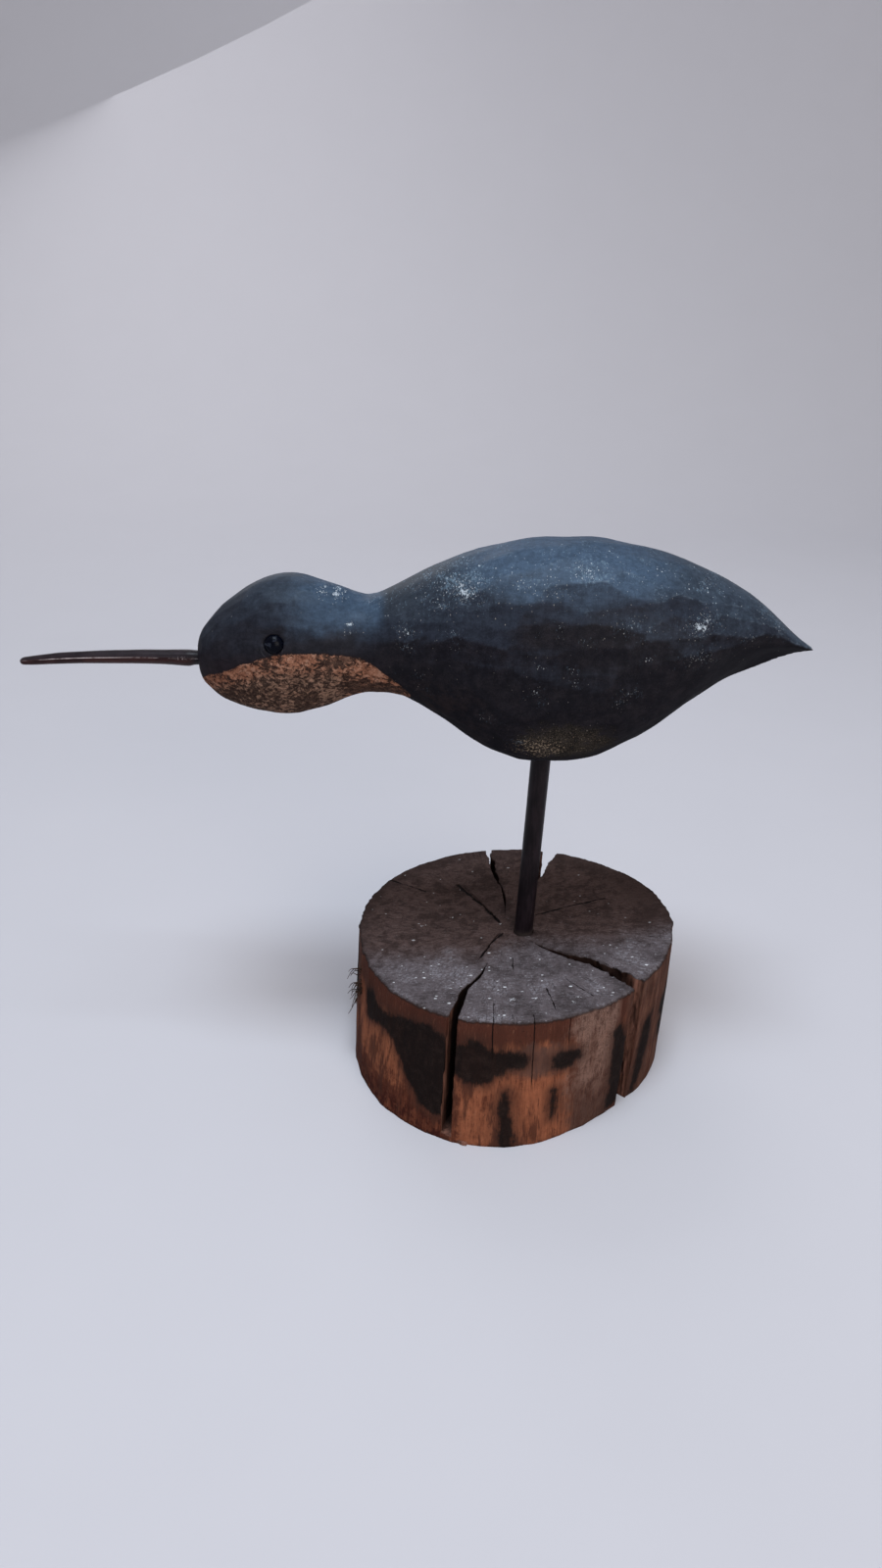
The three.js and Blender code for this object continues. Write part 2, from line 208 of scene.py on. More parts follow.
class Paint:  # one material, with its nodes
    def __init__(self, name, **constants):
        self.material = bpy.data.materials.new(name)
        self.material.use_nodes = True
        self.tree = self.material.node_tree
        self.tree.nodes.clear()
        self.shader = self.tree.nodes.new("ShaderNodeBsdfPrincipled")
        output = self.tree.nodes.new("ShaderNodeOutputMaterial")
        self.tree.links.new(self.shader.outputs[0], output.inputs[0])
        for socket, value in constants.items():
            self.shader.inputs[socket.replace("_", " ")].default_value = value
        place = self.tree.nodes.new("ShaderNodeTexCoord").outputs["Object"]
        self.place = self.node("VectorMath", {"operation": "SCALE"},
                               {"Vector": Wire(self, place), "Scale": 1 / mm})
        self.x, self.y, self.z = (self.node("SeparateXYZ", {}, {0: self.place}, k) for k in range(3))

    def node(self, kind, settings, sockets, output=0):
        made = self.tree.nodes.new("ShaderNode" + kind)
        for name, value in settings.items():
            setattr(made, name, value)
        for name, value in sockets.items():
            socket = made.inputs[name]
            if isinstance(value, Wire):
                self.tree.links.new(value.socket, socket)
            elif socket.type == "RGBA" and len(value) == 3:
                socket.default_value = (*value, 1)
            else:
                socket.default_value = value
        return Wire(self, made.outputs[output])

    def blend(self, under, over, share, kind="MIX"):
        return self.node("Mix", {"data_type": "RGBA", "blend_type": kind, "clamp_factor": True},
                         {0: share, 6: under, 7: over}, 2)

    def layers(self, colour, *coats):  # each coat is a colour and how much it covers
        for coat, share in coats:
            colour = self.blend(colour, coat, share)
        return colour

    def stored(self, name):
        return self.node("Attribute", {"attribute_name": name}, {}, 2)

    def oval(self, x, z, along, up):  # 1 on its edge, seen from the side
        return ((self.x - x) / along) ** 2 + ((self.z - z) / up) ** 2

    def vector(self, x, y, z):
        return self.node("CombineXYZ", {}, {0: x, 1: y, 2: z})

    def stretched(self, stretch, turn=(0, 0, 0), shift=0):
        return self.node("Mapping", {}, {"Vector": self.place, "Scale": [1 / s for s in stretch],
                                         "Rotation": [math.radians(t) for t in turn],
                                         "Location": (shift, 1.7 * shift, 0.6 * shift)})

    def grain(self, size, stretch=(1, 1, 1), detail=3, rough=0.55, warp=0, where=None, shift=0):
        where = where or self.stretched(stretch, shift=shift)
        return self.node("TexNoise", {}, {"Vector": where, "Scale": 1 / size, "Detail": detail,
                                          "Roughness": rough, "Distortion": warp})

    def flecks(self, ragged, size, stretch, reach, many, shift):  # "many" is the share of cells with one
        place = {"Vector": self.stretched(stretch, shift=shift), "Scale": 1 / size}
        near, chance = (self.node("TexVoronoi", {}, place, k) for k in range(2))
        chance = self.node("SeparateXYZ", {}, {0: chance}) + many
        return (near + ragged).under(*reach) * chance.between(0.99, 1.01)

    def finish(self, colour, roughness, height):
        normal = self.node("Bump", {}, {"Height": height, "Distance": mm})
        for name, wire in (("Base Color", colour), ("Roughness", roughness), ("Normal", normal)):
            self.tree.links.new(wire.socket, self.shader.inputs[name])
        return self.material


# Camera, light and floor

print("camera, light and floor")
# down and roll in degrees
view = {"place": (-28.6, -433.03, 347.16), "down": 26.6, "roll": 1.2, "lens": 27, "film": 36}


def makeCamera():
    data = bpy.data.cameras.new("viewCamera")
    data.lens, data.sensor_width = view["lens"], view["film"]
    down, roll = math.radians(view["down"]), math.radians(view["roll"])
    level = Matrix.Rotation(math.pi / 2 - down, 4, "X")
    camera = added("viewCamera", data)
    camera.matrix_world = (Matrix.Translation(Vector(view["place"]) * mm) @ level
                           @ Matrix.Rotation(roll, 4, "Z"))
    bpy.context.scene.camera = camera


# place and aim in millimetres, size of the soft box in metres, power in watts
lights = {
    "ceilingBox": {"place": (-40, -330, 1500), "aim": (0, 0, 120), "size": 0.5, "power": 19,
                   "colour": (0.77, 0.885, 1.0)},
    "frontBox": {"place": (700, -1500, 700), "aim": (0, 0, 60), "size": 1.0, "power": 15,
                 "colour": (1.0, 0.90, 0.80)},
    "backBox": {"place": (-500, 1300, 900), "aim": (0, 0, 80), "size": 1.0, "power": 6,
                "colour": (0.94, 0.96, 1.0)},
}
room = {"colour": (0.96, 0.95, 1.0), "strength": 0.42}


def makeLights():
    for name, look in lights.items():
        data = bpy.data.lights.new(name, "AREA")
        data.energy, data.size, data.color = look["power"], look["size"], look["colour"]
        place, aim = Vector(look["place"]) * mm, Vector(look["aim"]) * mm
        added(name, data).matrix_world = aimed(place, aim - place, "-Z", "Y")
    world = bpy.data.worlds.new("softRoom")
    world.use_nodes = True
    sky = world.node_tree.nodes["Background"]
    sky.inputs["Color"].default_value = (*room["colour"], 1)
    sky.inputs["Strength"].default_value = room["strength"]
    bpy.context.scene.world = world
    bpy.context.scene.view_settings.view_transform = "Standard"


backdrop = {"width": 6, "depth": 3.2, "rise": 2.4, "bend": 0.7, "colour": (0.48, 0.465, 0.49)}  # metres


def makeBackdrop():
    bpy.ops.mesh.primitive_plane_add(size=1, location=(0, 0, 0))
    sweep = newest("backdrop")
    mode("EDIT")
    bpy.ops.transform.resize(value=(backdrop["width"], backdrop["depth"], 1))
    bpy.ops.mesh.select_all(action="DESELECT")
    mode("OBJECT")
    for edge in sweep.data.edges:
        edge.select = all(sweep.data.vertices[i].co.y > 0 for i in edge.vertices)
    mode("EDIT")
    bpy.ops.mesh.select_mode(type="EDGE")
    bpy.ops.mesh.extrude_region_move(TRANSFORM_OT_translate={"value": (0, 0, backdrop["rise"])})
    mode("OBJECT")
    for edge in sweep.data.edges:
        ends = [sweep.data.vertices[i].co for i in edge.vertices]
        edge.select = all(e.y > 0 and e.z < 0.01 for e in ends)
    mode("EDIT")
    bpy.ops.mesh.bevel(offset=backdrop["bend"], segments=24)
    mode("OBJECT")
    bpy.ops.object.shade_smooth()
    paper = Paint("palePaper")
    cloud = paper.grain(60, detail=2)
    colour = paper.blend(backdrop["colour"], [c * 1.03 for c in backdrop["colour"]], cloud)
    sweep.data.materials.append(paper.finish(colour, 0.85 + 0.05 * cloud, cloud * 0.01))


makeCamera()
makeLights()
makeBackdrop()


# The carved body

body = {
    "midY": -2.2,  # the middle of its width
    "eye": (-92.5, 195.2),  # x and z of the left eye
    "meshSize": 0.78,
    "blunting": 10,  # how often the remeshed facets are smoothed
    "calming": 12,  # how often the directions of the cuts are
    "cutLength": 15,  # half a knife cut on the body
    "cutWidth": 4.4,
    "cutDepth": 0.32,
    "cutLimit": 0.42,  # the most that all cuts together take off
    "spare": 0.33,  # added before the cuts, so that they leave the body's size as it was
    "headShare": 0.72,  # cuts on the head are this much smaller
    "rows": 28,
    "step": 15,  # from one cut to the next in a row
    "cutsFrom": -124, "cutsTo": 111,
    "headEnds": -50,
    "socket": (2.5, 6),  # from inside the eye's rim to where its surroundings stay as they are
    "socketPull": 0.5,  # the sockets close up round the eyes
    "socketFade": 1.6,
    "tailLonger": 0.9,
    "tailReach": 9,  # how much of the tail is drawn out
    "tailTip": 110,  # from here on nothing is smoothed or cut
    "keep": {"leg_rod": 6, "bill": 4, "eye_left": 5, "eye_right": 5},  # left as it is so far round each
    "seed": 11,
}
# how much lower the underside is carved, along the bird
underside = [(-122, -0.2), (-92, -0.3), (-83, 0.5), (-75, 0.5), (-67, -0.3), (-60, 0.1), (-54, 0.9),
             (-44, 0.3), (-30, -0.2), (58, -0.2), (67, 0.5), (80, 0.9), (92, 1.6), (106, 2.1), (112, 0.9)]
# the same for the top, upwards
topside = [(-35, 0), (-19, -0.6), (-5, 0), (50, 0), (62, 0.5), (72, 0), (84, 0.2), (99, 0.5), (106, 0.2),
           (110, 0)]
# painted light (above 0) and painted shade on the facets, beyond what their slope gives: x, z, reach along
# and up, how strongly
paintedLightClouds = [(12, 206.5, 15, 5, -0.30), (30, 207.5, 9, 4, -0.28), (66, 198.5, 13, 5, 0.28),
              (-9, 217.5, 13, 3, -0.16), (8, 215.5, 9, 2, -0.14), (44, 216.5, 12, 3, -0.20),
              (48, 226.5, 14, 2.5, 0.14), (-22, 206, 10, 4, 0.10)]
# the upper edge of the tan patch, as x and z along the bird's side
throatLine = [(-126, 176), (-121, 179), (-118.4, 181.5), (-112.7, 183.9), (-104.4, 188.2), (-96.7, 191.3),
              (-91.1, 193), (-84.9, 193.4), (-76.2, 193.8), (-68.3, 192.8), (-61.4, 192), (-58.2, 190.9),
              (-54.9, 189.1), (-50.8, 185.8), (-47.9, 183.9), (-45.3, 181.6), (-42.7, 178.6), (-41, 176.5),
              (-37, 168)]
# darker (above 0) and cleaner clouds on it: x, z, reach along and up, how strongly
throatClouds = [(-94.5, 188.3, 3.2, 1.7, 1.0), (-70, 190.8, 6.5, 2.4, 1.25), (-61, 181, 3.8, 6, 1.1),
                (-51, 178, 9, 3.2, 1.4), (-109, 174, 6.5, 4, 0.9), (-96.7, 178.5, 5.5, 4.5, 0.5),
                (-80, 174.5, 5, 6, 0.85), (-66, 176.5, 3, 3, 0.7), (-72.5, 176, 3.6, 3, -0.8),
                (-58, 187.5, 5, 2.2, -0.6), (-105, 185.5, 8, 2.6, -0.8), (-80, 191.8, 5.5, 1.8, -0.9),
                (-116, 179, 4, 2.5, -0.7), (-88, 186, 5, 3, -0.3)]
# where the paint is chipped on the left side: x, z, reach along the body, how strongly
chips = [(-21.8, 219.2, 7, 1), (-31, 214.5, 5, 0.7), (-27, 220.5, 10, 0.5), (-42.4, 203.3, 2.5, 1.1),
         (-42.7, 197.9, 2, 1), (-25.8, 205.5, 2.2, 1), (-25.4, 200.4, 2, 0.6), (22.6, 226.6, 4, 1),
         (20.6, 227.9, 4, 0.8), (0.5, 221.6, 6, 0.5), (10.2, 220.8, 5, 0.5), (64, 209.4, 5, 1),
         (65.8, 210.9, 5, 0.8), (66.1, 198.6, 5, 0.7), (63.1, 198.2, 4, 0.6), (40.5, 185.8, 2, 1),
         (36.6, 181.8, 2, 0.8), (-74, 214.6, 3.2, 0.9), (-68.7, 213, 3.4, 1), (-63.7, 203.9, 1.8, 1.2),
         (-63.6, 201.3, 2, 1), (-54.7, 210.8, 2, 0.6), (0.7, 162.7, 2.2, 1), (5.7, 185.4, 1.8, 0.8),
         (8.4, 182, 2, 0.7), (13.4, 207.2, 1.6, 0.6), (29.5, 215.1, 3, 0.5), (37.8, 210.3, 4, 0.7),
         (45.3, 208.6, 2.5, 0.7), (5.4, 185.8, 2.4, 0.7), (18.2, 194.3, 1.8, 0.8), (19.8, 190.1, 2, 0.8),
         (45.8, 199.1, 1.8, 0.8), (13.1, 210.1, 1.8, 0.7), (21.8, 205.2, 1.8, 0.6), (66.5, 221.6, 3, 0.6),
         (-37.5, 187, 2, 0.7), (-35, 180.9, 2, 0.6), (-13.3, 172.7, 2.4, 0.7), (6.4, 195.4, 3, 0.6),
         (97, 204.5, 3, 0.5), (90.7, 209.2, 3, 0.5), (50.9, 219.3, 2.4, 0.6), (83.9, 202.8, 3, 0.5)]


def makeBody():
    piece = solidCopy("bird_body", "carved_body")
    applyModifier(piece, "REMESH", mode="VOXEL", voxel_size=body["meshSize"] * mm)
    drawOutTail(piece)
    tightenSockets(piece)
    keepHoles(piece)
    applyModifier(piece, "SMOOTH", factor=0.5, iterations=body["blunting"], vertex_group="soft")
    tone = shave(piece)
    applyModifier(piece, "SMOOTH", factor=0.5, iterations=1, vertex_group="soft")
    markBody(piece, tone)
    piece.data.materials.append(bodyPaint())
    smoothShade(piece, 60)
    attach(piece, "root")
    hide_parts("bird_body")


def drawOutTail(piece):  # remeshing rounds the tip off
    points = readVectors(piece)
    x = points[:, 0]  # a view, so a change to it moves the points
    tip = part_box("bird_body")[1].x / mm + body["tailLonger"]
    start = tip - body["tailReach"]
    share = unit((x - start) / (x.max() - start))
    x += share ** 2 * (tip - x.max())
    writePoints(piece, points)


def tightenSockets(piece):
    points = readVectors(piece)
    hole, reach = body["socket"]
    for node in ("eye_left", "eye_right"):
        low, high = corners(node)
        middle = (low + high) / 2
        away = (points - middle) * (1, 0, 1)
        out = np.linalg.norm(away, axis=1)
        near = (abs(points[:, 1] - middle[1]) < reach) & (out > hole) & (out < reach)
        pull = body["socketPull"] * unit((reach - out) / body["socketFade"])
        points[near] -= (away / out[:, None] * pull[:, None])[near]
    writePoints(piece, points)


def softness(points):  # 0 at the rod, the bill, the eyes and the tail's tip
    soft = unit((body["tailTip"] - points[:, 0]) / 20)
    for node, reach in body["keep"].items():
        low, high = corners(node)
        outside = np.maximum(np.maximum(low - points, points - high), 0)
        soft *= unit(np.linalg.norm(outside, axis=1) / reach)
    return soft


def keepHoles(piece):
    soft = softness(readVectors(piece))
    group = piece.vertex_groups.new(name="soft")
    for share in range(1, 11):
        near = np.where(np.round(soft * 10) == share)[0]
        group.add(near.tolist(), share / 10, "REPLACE")


def middleLine(points):
    steps = np.arange(-123, 112, 3.0)
    middle = []
    for x in steps:
        heights = points[abs(points[:, 0] - x) < 2, 2]
        middle.append((heights.max() + heights.min()) / 2)
    return steps, middle


def shave(piece):
    points, normals = surface(piece)
    edges = edgesOf(piece)
    for _ in range(body["calming"]):
        normals = meanOfNeighbours(normals, edges)
    normals /= np.linalg.norm(normals, axis=1)[:, None]
    soft = softness(points)
    points += normals * (body["spare"] * soft)[:, None]
    x, y, z = points.T  # views, so a change to them moves the points
    for profile, way in ((underside, -1), (topside, 1)):
        places, further = zip(*profile)
        z += way * np.interp(x, places, further) * unit(way * 1.3 * normals[:, 2]) * soft
    around = np.arctan2(z - np.interp(x, *middleLine(points)), body["midY"] - y)
    chance = random.Random(body["seed"])
    tone, start = np.full(len(points), 0.5), points.copy()
    rows = list(range(body["rows"]))
    chance.shuffle(rows)
    for row in rows:
        place = body["cutsFrom"] + chance.uniform(0, body["step"])
        while place < body["cutsTo"]:
            size = body["headShare"] if place < body["headEnds"] else 1
            turn = (row + chance.uniform(-0.2, 0.2)) / body["rows"] * 2 * math.pi - math.pi
            off = np.abs((around - turn + math.pi) % (2 * math.pi) - math.pi)
            centre = np.argmin(abs(x - place) + 30 * off)
            cutOnce(points, start, normals, centre, size, tone, chance)
            place += body["step"] * size * chance.uniform(0.8, 1.2)
    writePoints(piece, points)
    return tone


def cutOnce(points, start, normals, centre, size, tone, chance):
    place, normal = start[centre], normals[centre]
    along = np.array([1, 0, chance.uniform(-0.12, 0.12)])
    along -= normal * (along @ normal)
    if np.linalg.norm(along) < 0.5:
        return
    along /= np.linalg.norm(along)
    across = np.cross(normal, along)
    near = np.where(abs(points[:, 0] - place[0]) < 30)[0]
    offset = points[near] - place
    length = body["cutLength"] * size * chance.uniform(0.8, 1.25)
    width = body["cutWidth"] * size * chance.uniform(0.8, 1.25)
    reach = (offset @ along / length) ** 2 + (offset @ across / width) ** 2
    height = offset @ normal
    floor = -body["cutDepth"] * chance.uniform(0.7, 1.1) + 0.10 * reach
    taken = (start[near] - points[near]) @ normal
    limit = np.clip(body["cutLimit"] * unit(1.6 - reach / 2) - taken, 0, None)
    drop = np.minimum(np.maximum(height - floor, 0), limit) * (normals[near] @ normal > 0.4)
    shallow = 1 - 0.85 * unit((normal[2] - 0.7) / 0.2)  # on the back and the crown
    drop *= unit((body["cutsTo"] - points[near, 0]) / 12) * shallow
    points[near] -= drop[:, None] * normal
    tone[near[drop > 0.02]] = chance.random()


def markBody(piece, tone):
    points, normals = surface(piece)
    line = np.array(throatLine)
    throat = np.interp(points[:, 0], line[:, 0], line[:, 1]) - points[:, 2]
    pointed = -40.5 - points[:, 0] - 0.6 * np.clip(176 - points[:, 2], 0, None)  # its rear end
    store(piece, "throat", np.minimum(throat, pointed))
    leftSide = points[:, 1] < body["midY"]
    # how much each facet faces up, moved by the clouds of painted light and shade above
    store(piece, "upward", normals[:, 2] + clouds(points, paintedLightClouds, leftSide))
    store(piece, "ridge", ridges(piece, 1) / 0.03)
    for _ in range(2):
        tone = meanOfNeighbours(tone[:, None], edgesOf(piece))[:, 0]
    store(piece, "tone", tone)
    worn, dusty = np.zeros(len(points)), np.zeros(len(points))
    for x, z, reach, strength in chips:
        centre = np.where(leftSide, x, x + 9 * math.sin(7 * x + z))  # the right side's chips lie elsewhere
        distance = np.hypot(points[:, 0] - centre, 1.8 * (points[:, 2] - z)) / reach
        worn = np.maximum(worn, strength * np.exp(-distance ** 2))
        dusty = np.maximum(dusty, strength * np.exp(-(distance / 2.4) ** 2))
    store(piece, "worn", worn)
    store(piece, "dusty", dusty)
    store(piece, "grime", clouds(points, throatClouds, leftSide))


def clouds(points, places, leftSide):  # soft spots, added up; on the right side they lie a little elsewhere
    field = np.zeros(len(points))
    for x, z, along, up, strength in places:
        centre = np.where(leftSide, x, x + 5 * math.sin(3 * x))
        distance = np.hypot((points[:, 0] - centre) / along, (points[:, 2] - z) / up)
        field += strength * np.exp(-distance ** 2)
    return field


def bodyPaint():
    paint = Paint("weatheredPaint", IOR=1.5, Specular_IOR_Level=0.06)
    x, z = paint.x, paint.z
    upward, tone, ridge = paint.stored("upward"), paint.stored("tone"), paint.stored("ridge")
    throat, worn, dusty = paint.stored("throat"), paint.stored("worn"), paint.stored("dusty")
    cloud = paint.grain(17, detail=4, rough=0.6)
    dabs = paint.grain(5, detail=5, rough=0.68, shift=20)
    mottle = paint.grain(1.7, (1.4, 1, 1), detail=5, rough=0.7, warp=0.4, shift=61)
    streaks = paint.grain(0.8, (1, 5, 5), detail=4, rough=0.65)
    strokes = paint.grain(2.3, (1, 4, 4), detail=4, rough=0.6, shift=14)
    lengthways = paint.grain(0.9, (6, 1, 1), detail=4, rough=0.62, shift=26)
    fine = paint.grain(0.45, detail=3, rough=0.65)
    drift, dab, grit = cloud - 0.5, dabs - 0.5, fine - 0.5  # the same noises with 0 in the middle

    # dark paint with painted light: bluer and paler where it faces up, facet by facet, as a sheen of cool
    # light from above, weaker towards the front of the head
    head = x.under(-60, -46)
    facing = (upward + 0.34 * drift + (0.24 + 0.24 * head) * (tone - 0.5) + 0.26 * dab
              + 0.16 * (strokes - 0.5) + 0.14 * (lengthways - 0.5))
    front = 0.35 + 0.65 * x.between(-112, -66)
    lit = facing.between(0.3, 0.9) * front
    halfLit = facing.between(0.02, 0.4) * front * (1 - 0.5 * head * (z + 5 * dab).under(183, 195))
    # a painted highlight on the upper back and on the nape, and painted shade that dims the painted light
    # at the shoulder
    backHighlight = (paint.oval(15, 225, 42, 11) + 1.2 * dab).under(0.3, 1.3)
    napeHighlight = ((x + 12 * dab).between(-92, -72) * (x + 5 * grit + 3 * dab).under(-54, -49.5)
            * (z + 7 * dab - 0.1 * (x + 72)).between(198, 207))
    shoulderShade = x.under(-50, -5) * (x + 5 * grit).between(-54, -49.5)
    dark = paint.layers(
        (0.0058, 0.0056, 0.0084),
        ((0.0112, 0.0098, 0.0126), (dabs * 0.7 + fine * 0.4).between(0.46, 0.72)),
        ((0.0185, 0.0195, 0.026), head * z.between(186, 198) * 0.4),
        ((0.013, 0.0095, 0.0125), head * z.under(184, 196) * 0.8),
        ((0.0147, 0.018, 0.0272), halfLit),
        ((0.028, 0.039, 0.056), lit),
        ((0.039, 0.062, 0.098), backHighlight * lit),
        ((0.032, 0.053, 0.086), napeHighlight * 0.85),
        ((0.021, 0.023, 0.028), shoulderShade * lit * 0.6))
    brushed = (streaks * 0.1 + strokes * 0.15 + mottle * 0.4 + fine * 0.2 + dabs * 0.2
               + lengthways * 0.1).between(0.46, 0.7)
    dark = paint.blend(dark, paint.blend((0.74, 0.74, 0.74), (1.34, 1.32, 1.3), brushed), 1, "MULTIPLY")
    onHead = 0.12 + 0.88 * x.between(-66, -44)
    edges = ridge.between(0.35, 1.1) * mottle.between(0.44, 0.56) * onHead
    brown = x.under(-40, 0) * x.between(-48, -36) * z.under(176, 190)
    belly = (paint.oval(18, 162.5, 21, 11) + 3.4 * dab + 0.8 * grit).under(0.1, 1.2)
    moss = paint.blend((0.009, 0.0078, 0.007), (0.068, 0.056, 0.042),
                       (fine * 0.7 + dabs * 0.4).between(0.48, 0.7))
    dark = paint.layers(
        dark,
        # pale worn paint on the ridges, shown mostly in the painted light, so partly a painted highlight
        ((0.11, 0.14, 0.17), edges * (0.1 + 0.4 * lit) * halfLit),
        ((0.018, 0.011, 0.01), brown * 0.5 * dabs.between(0.4, 0.6)),
        (moss, belly * 0.85),
        # painted shade on the faces that point down near the tail
        ((0.0048, 0.0046, 0.007), upward.under(-0.75, -0.1) * x.between(60, 80) * 0.7))

    # pale flecks and chips, in clusters and along the ridges, with a finer dust round them; in the painted
    # light on the upper faces there are more, paler and bluer, and on faces that point down they are
    # dimmer, as painted shade
    crowded = (dabs + 0.4 * drift).between(0.5, 0.6)
    many = ((0.008 + 0.075 * lit * crowded + 0.1 * edges * lit + 0.05 * dusty) * onHead
            + 0.55 * worn + 0.08 * belly)
    ragged, upright = 0.55 * grit, (1, 1.5, 1.5)
    specks = paint.flecks(ragged, 1.9, upright, (0.09, 0.153), many, 3)
    specks = specks.most(paint.flecks(ragged, 1.15, upright, (0.11, 0.187), many * 1.6, 8) * 0.8)
    specks = specks.most(paint.flecks(ragged, 0.7, upright, (0.13, 0.221), many * 2.4, 13) * 0.6)
    flakes = paint.grain(0.95, (0.9, 1.6, 1.6), detail=5, rough=0.75, warp=0.3, shift=7)
    chipped = (flakes + 0.25 * worn * (0.2 + 1.6 * dabs)).between(0.75, 0.8)
    pale = chipped.most(specks) * (0.55 + 0.45 * upward.between(-0.5, 0.5)) * (0.45 + 0.8 * strokes)
    chalky = paint.blend((0.22, 0.2, 0.18), (0.44, 0.49, 0.54), lit.most(worn))
    dust = paint.grain(0.75, (1, 1.7, 1.7), detail=4, rough=0.72, shift=41)
    dust = (dust + 0.14 * dusty + 0.08 * lit * crowded + 0.05 * edges).between(0.65, 0.74)
    lower = paint.oval(6, 159, 13, 7).under(0.2, 1.4)  # most tan specks lie here
    tan = paint.grain(0.85, detail=4, rough=0.7, shift=52)
    tan = (tan + 0.08 * belly + 0.1 * lower * (0.4 + 1.2 * dabs)).between(0.7, 0.75)
    eyeX, eyeZ = body["eye"]
    # a painted highlight on the lower rim of the eye's socket
    rimHighlight = ((x - eyeX) ** 2 + (z - eyeZ) ** 2) ** 0.5 + 0.7 * dab
    rimHighlight = abs(rimHighlight - 3.95).under(0.05, 0.35) * (z - 0.3 * x).under(222, 226)
    dark = paint.layers(
        dark,
        ((0.095, 0.14, 0.185), dust * (0.25 + 0.75 * lit) * onHead * 0.75),
        ((0.22, 0.17, 0.125), tan * belly.most(lower) * 0.9),
        (chalky, pale * 0.95),
        ((0.085, 0.085, 0.095), rimHighlight * (0.25 + 0.75 * dabs.between(0.45, 0.58)) * 0.7))

    # the tan patch on the throat, with a thin dark seam round it
    tan, dirty = throatPaint(paint, throat, dabs, fine)
    border = throat + 2.8 * dab + 1.0 * grit
    inside = border.between(-0.25, 0.2)
    seam = abs(border + 0.3).under(0.1, 0.7)
    colour = paint.layers(dark, (tan, inside), ((0.01, 0.007, 0.008), seam * 0.6))
    roughness = (0.47 + 0.14 * drift + 0.2 * inside + 0.2 * pale + 0.12 * belly + 0.2 * grit
                 + 0.35 * upward.under(-0.6, 0.1))
    height = (0.025 * streaks + 0.02 * fine + 0.05 * dabs + 0.03 * strokes + 0.03 * lengthways
              - 0.08 * pale - 0.1 * inside * dirty)
    return paint.finish(colour, roughness, height)


def throatPaint(paint, throat, dabs, fine):  # tan, with dark curls and clouds and short pale strokes
    dab, grit, grime = dabs - 0.5, fine - 0.5, paint.stored("grime")
    mottle = paint.grain(4.5, (1.3, 1, 1), detail=5, rough=0.62, warp=0.4, shift=4)
    curls = paint.grain(1.55, (1.15, 1, 0.9), detail=5, rough=0.6, warp=0.6, shift=9)
    bends = paint.grain(2.5, (1.2, 1, 1), detail=3, rough=0.5, warp=0.9, shift=33)
    lines = abs(bends - 0.5).under(0.014, 0.06)
    low = (throat + 7 * dab).between(4, 11) * (paint.x + 8 * dab).under(-70, -60)
    warm = paint.blend((0.076, 0.029, 0.018), (0.245, 0.113, 0.071),
                       (fine * 0.35 + curls * 0.35 + dabs * 0.3).between(0.4, 0.6))
    drab = paint.blend((0.046, 0.032, 0.025), (0.19, 0.126, 0.094),
                       (fine * 0.4 + curls * 0.3 + mottle * 0.3).between(0.4, 0.6))
    inky = paint.blend((0.013, 0.007, 0.006), (0.052, 0.032, 0.025),
                       (fine * 0.6 + curls * 0.5).between(0.45, 0.65))
    pale = (bends + 0.25 * grit).between(0.56, 0.62) * (1 - 0.5 * grime.between(0.2, 0.9))
    dirty = ((1 - curls) + 0.34 * (mottle - 0.5) + 0.14 * grit + 0.085 * lines + 0.17 * grime
             + 0.045 * low).between(0.51, 0.6)
    tan = paint.layers(warm, (drab, low * 0.8), ((0.33, 0.185, 0.13), pale * (0.55 - 0.2 * low)),
                       (inky, dirty * 0.94 * (1 - 0.4 * pale)))
    return tan, dirty


print("body")
makeBody()


# The bill

bill = {
    "root": -125,  # where it leaves the head
    "ripple": 0.08, "rippleLength": 9,
    "swell": 0.22,  # makes up for what smoothing takes off
    "lip": 0.14, "lipWidth": 0.35,  # the edge between the upper and the lower half
    "lipAt": 0.6,  # as a share of the height
    "grooveBelow": 0.75,
    "longer": 0.6,
    "flare": 0.5,  # thicker below, where it enters the head
    "tipDrop": 0.6, "dropFrom": -178,
    "blunt": 0.7,  # how much thicker the tip's last few millimetres are
}


def makeBill():
    piece = solidCopy("bill", "set_in_bill")
    applyModifier(piece, "SUBSURF", levels=3, render_levels=3)
    points, normals = surface(piece)
    x, _, z = points.T  # views, so a change to them moves the points
    free = unit((bill["root"] - x) / 3)
    carved = bill["ripple"] * lumps(points, bill["rippleLength"], 3, (1, 0.4, 0.4)) + bill["swell"]
    lip = billLine(points)
    groove = np.exp(-((lip + bill["grooveBelow"]) / bill["lipWidth"]) ** 2)
    edge = bill["lip"] * (np.exp(-(lip / bill["lipWidth"]) ** 2) - 0.8 * groove)
    sideways = unit(abs(normals[:, 1]) * 1.6 - 0.4)
    points += normals * ((carved + edge * sideways) * free)[:, None]
    upper, lower = unit(normals[:, 2]), unit(-normals[:, 2])
    z -= bill["flare"] * lower * np.exp(-((x - bill["root"] + 1) / 9) ** 2) * free
    z -= bill["tipDrop"] * upper * unit((bill["dropFrom"] - x) / 12)
    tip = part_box("bill")[0].x / mm - bill["longer"]
    x -= (x.min() - tip) * unit((bill["root"] - x) / 60)
    last = points[x < tip + 2.5, 1:].mean(0)
    thicker = 1 + bill["blunt"] * unit((tip + 4 - x) / 4) ** 2
    points[:, 1:] = last + (points[:, 1:] - last) * thicker[:, None]
    writePoints(piece, points)
    store(piece, "lip", billLine(points))
    piece.data.materials.append(billLacquer())
    smoothShade(piece, 70)
    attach(piece, "root")
    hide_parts("bill")


def billLine(points):  # height over the line between the upper and the lower half
    steps, line = [], []
    for x in np.arange(-196, -100, 3.0):
        here = points[abs(points[:, 0] - x) < 3.5][:, 2]
        if len(here):
            steps.append(x)
            line.append(here.min() + (here.max() - here.min()) * bill["lipAt"])
    return points[:, 2] - np.interp(points[:, 0], steps, line)


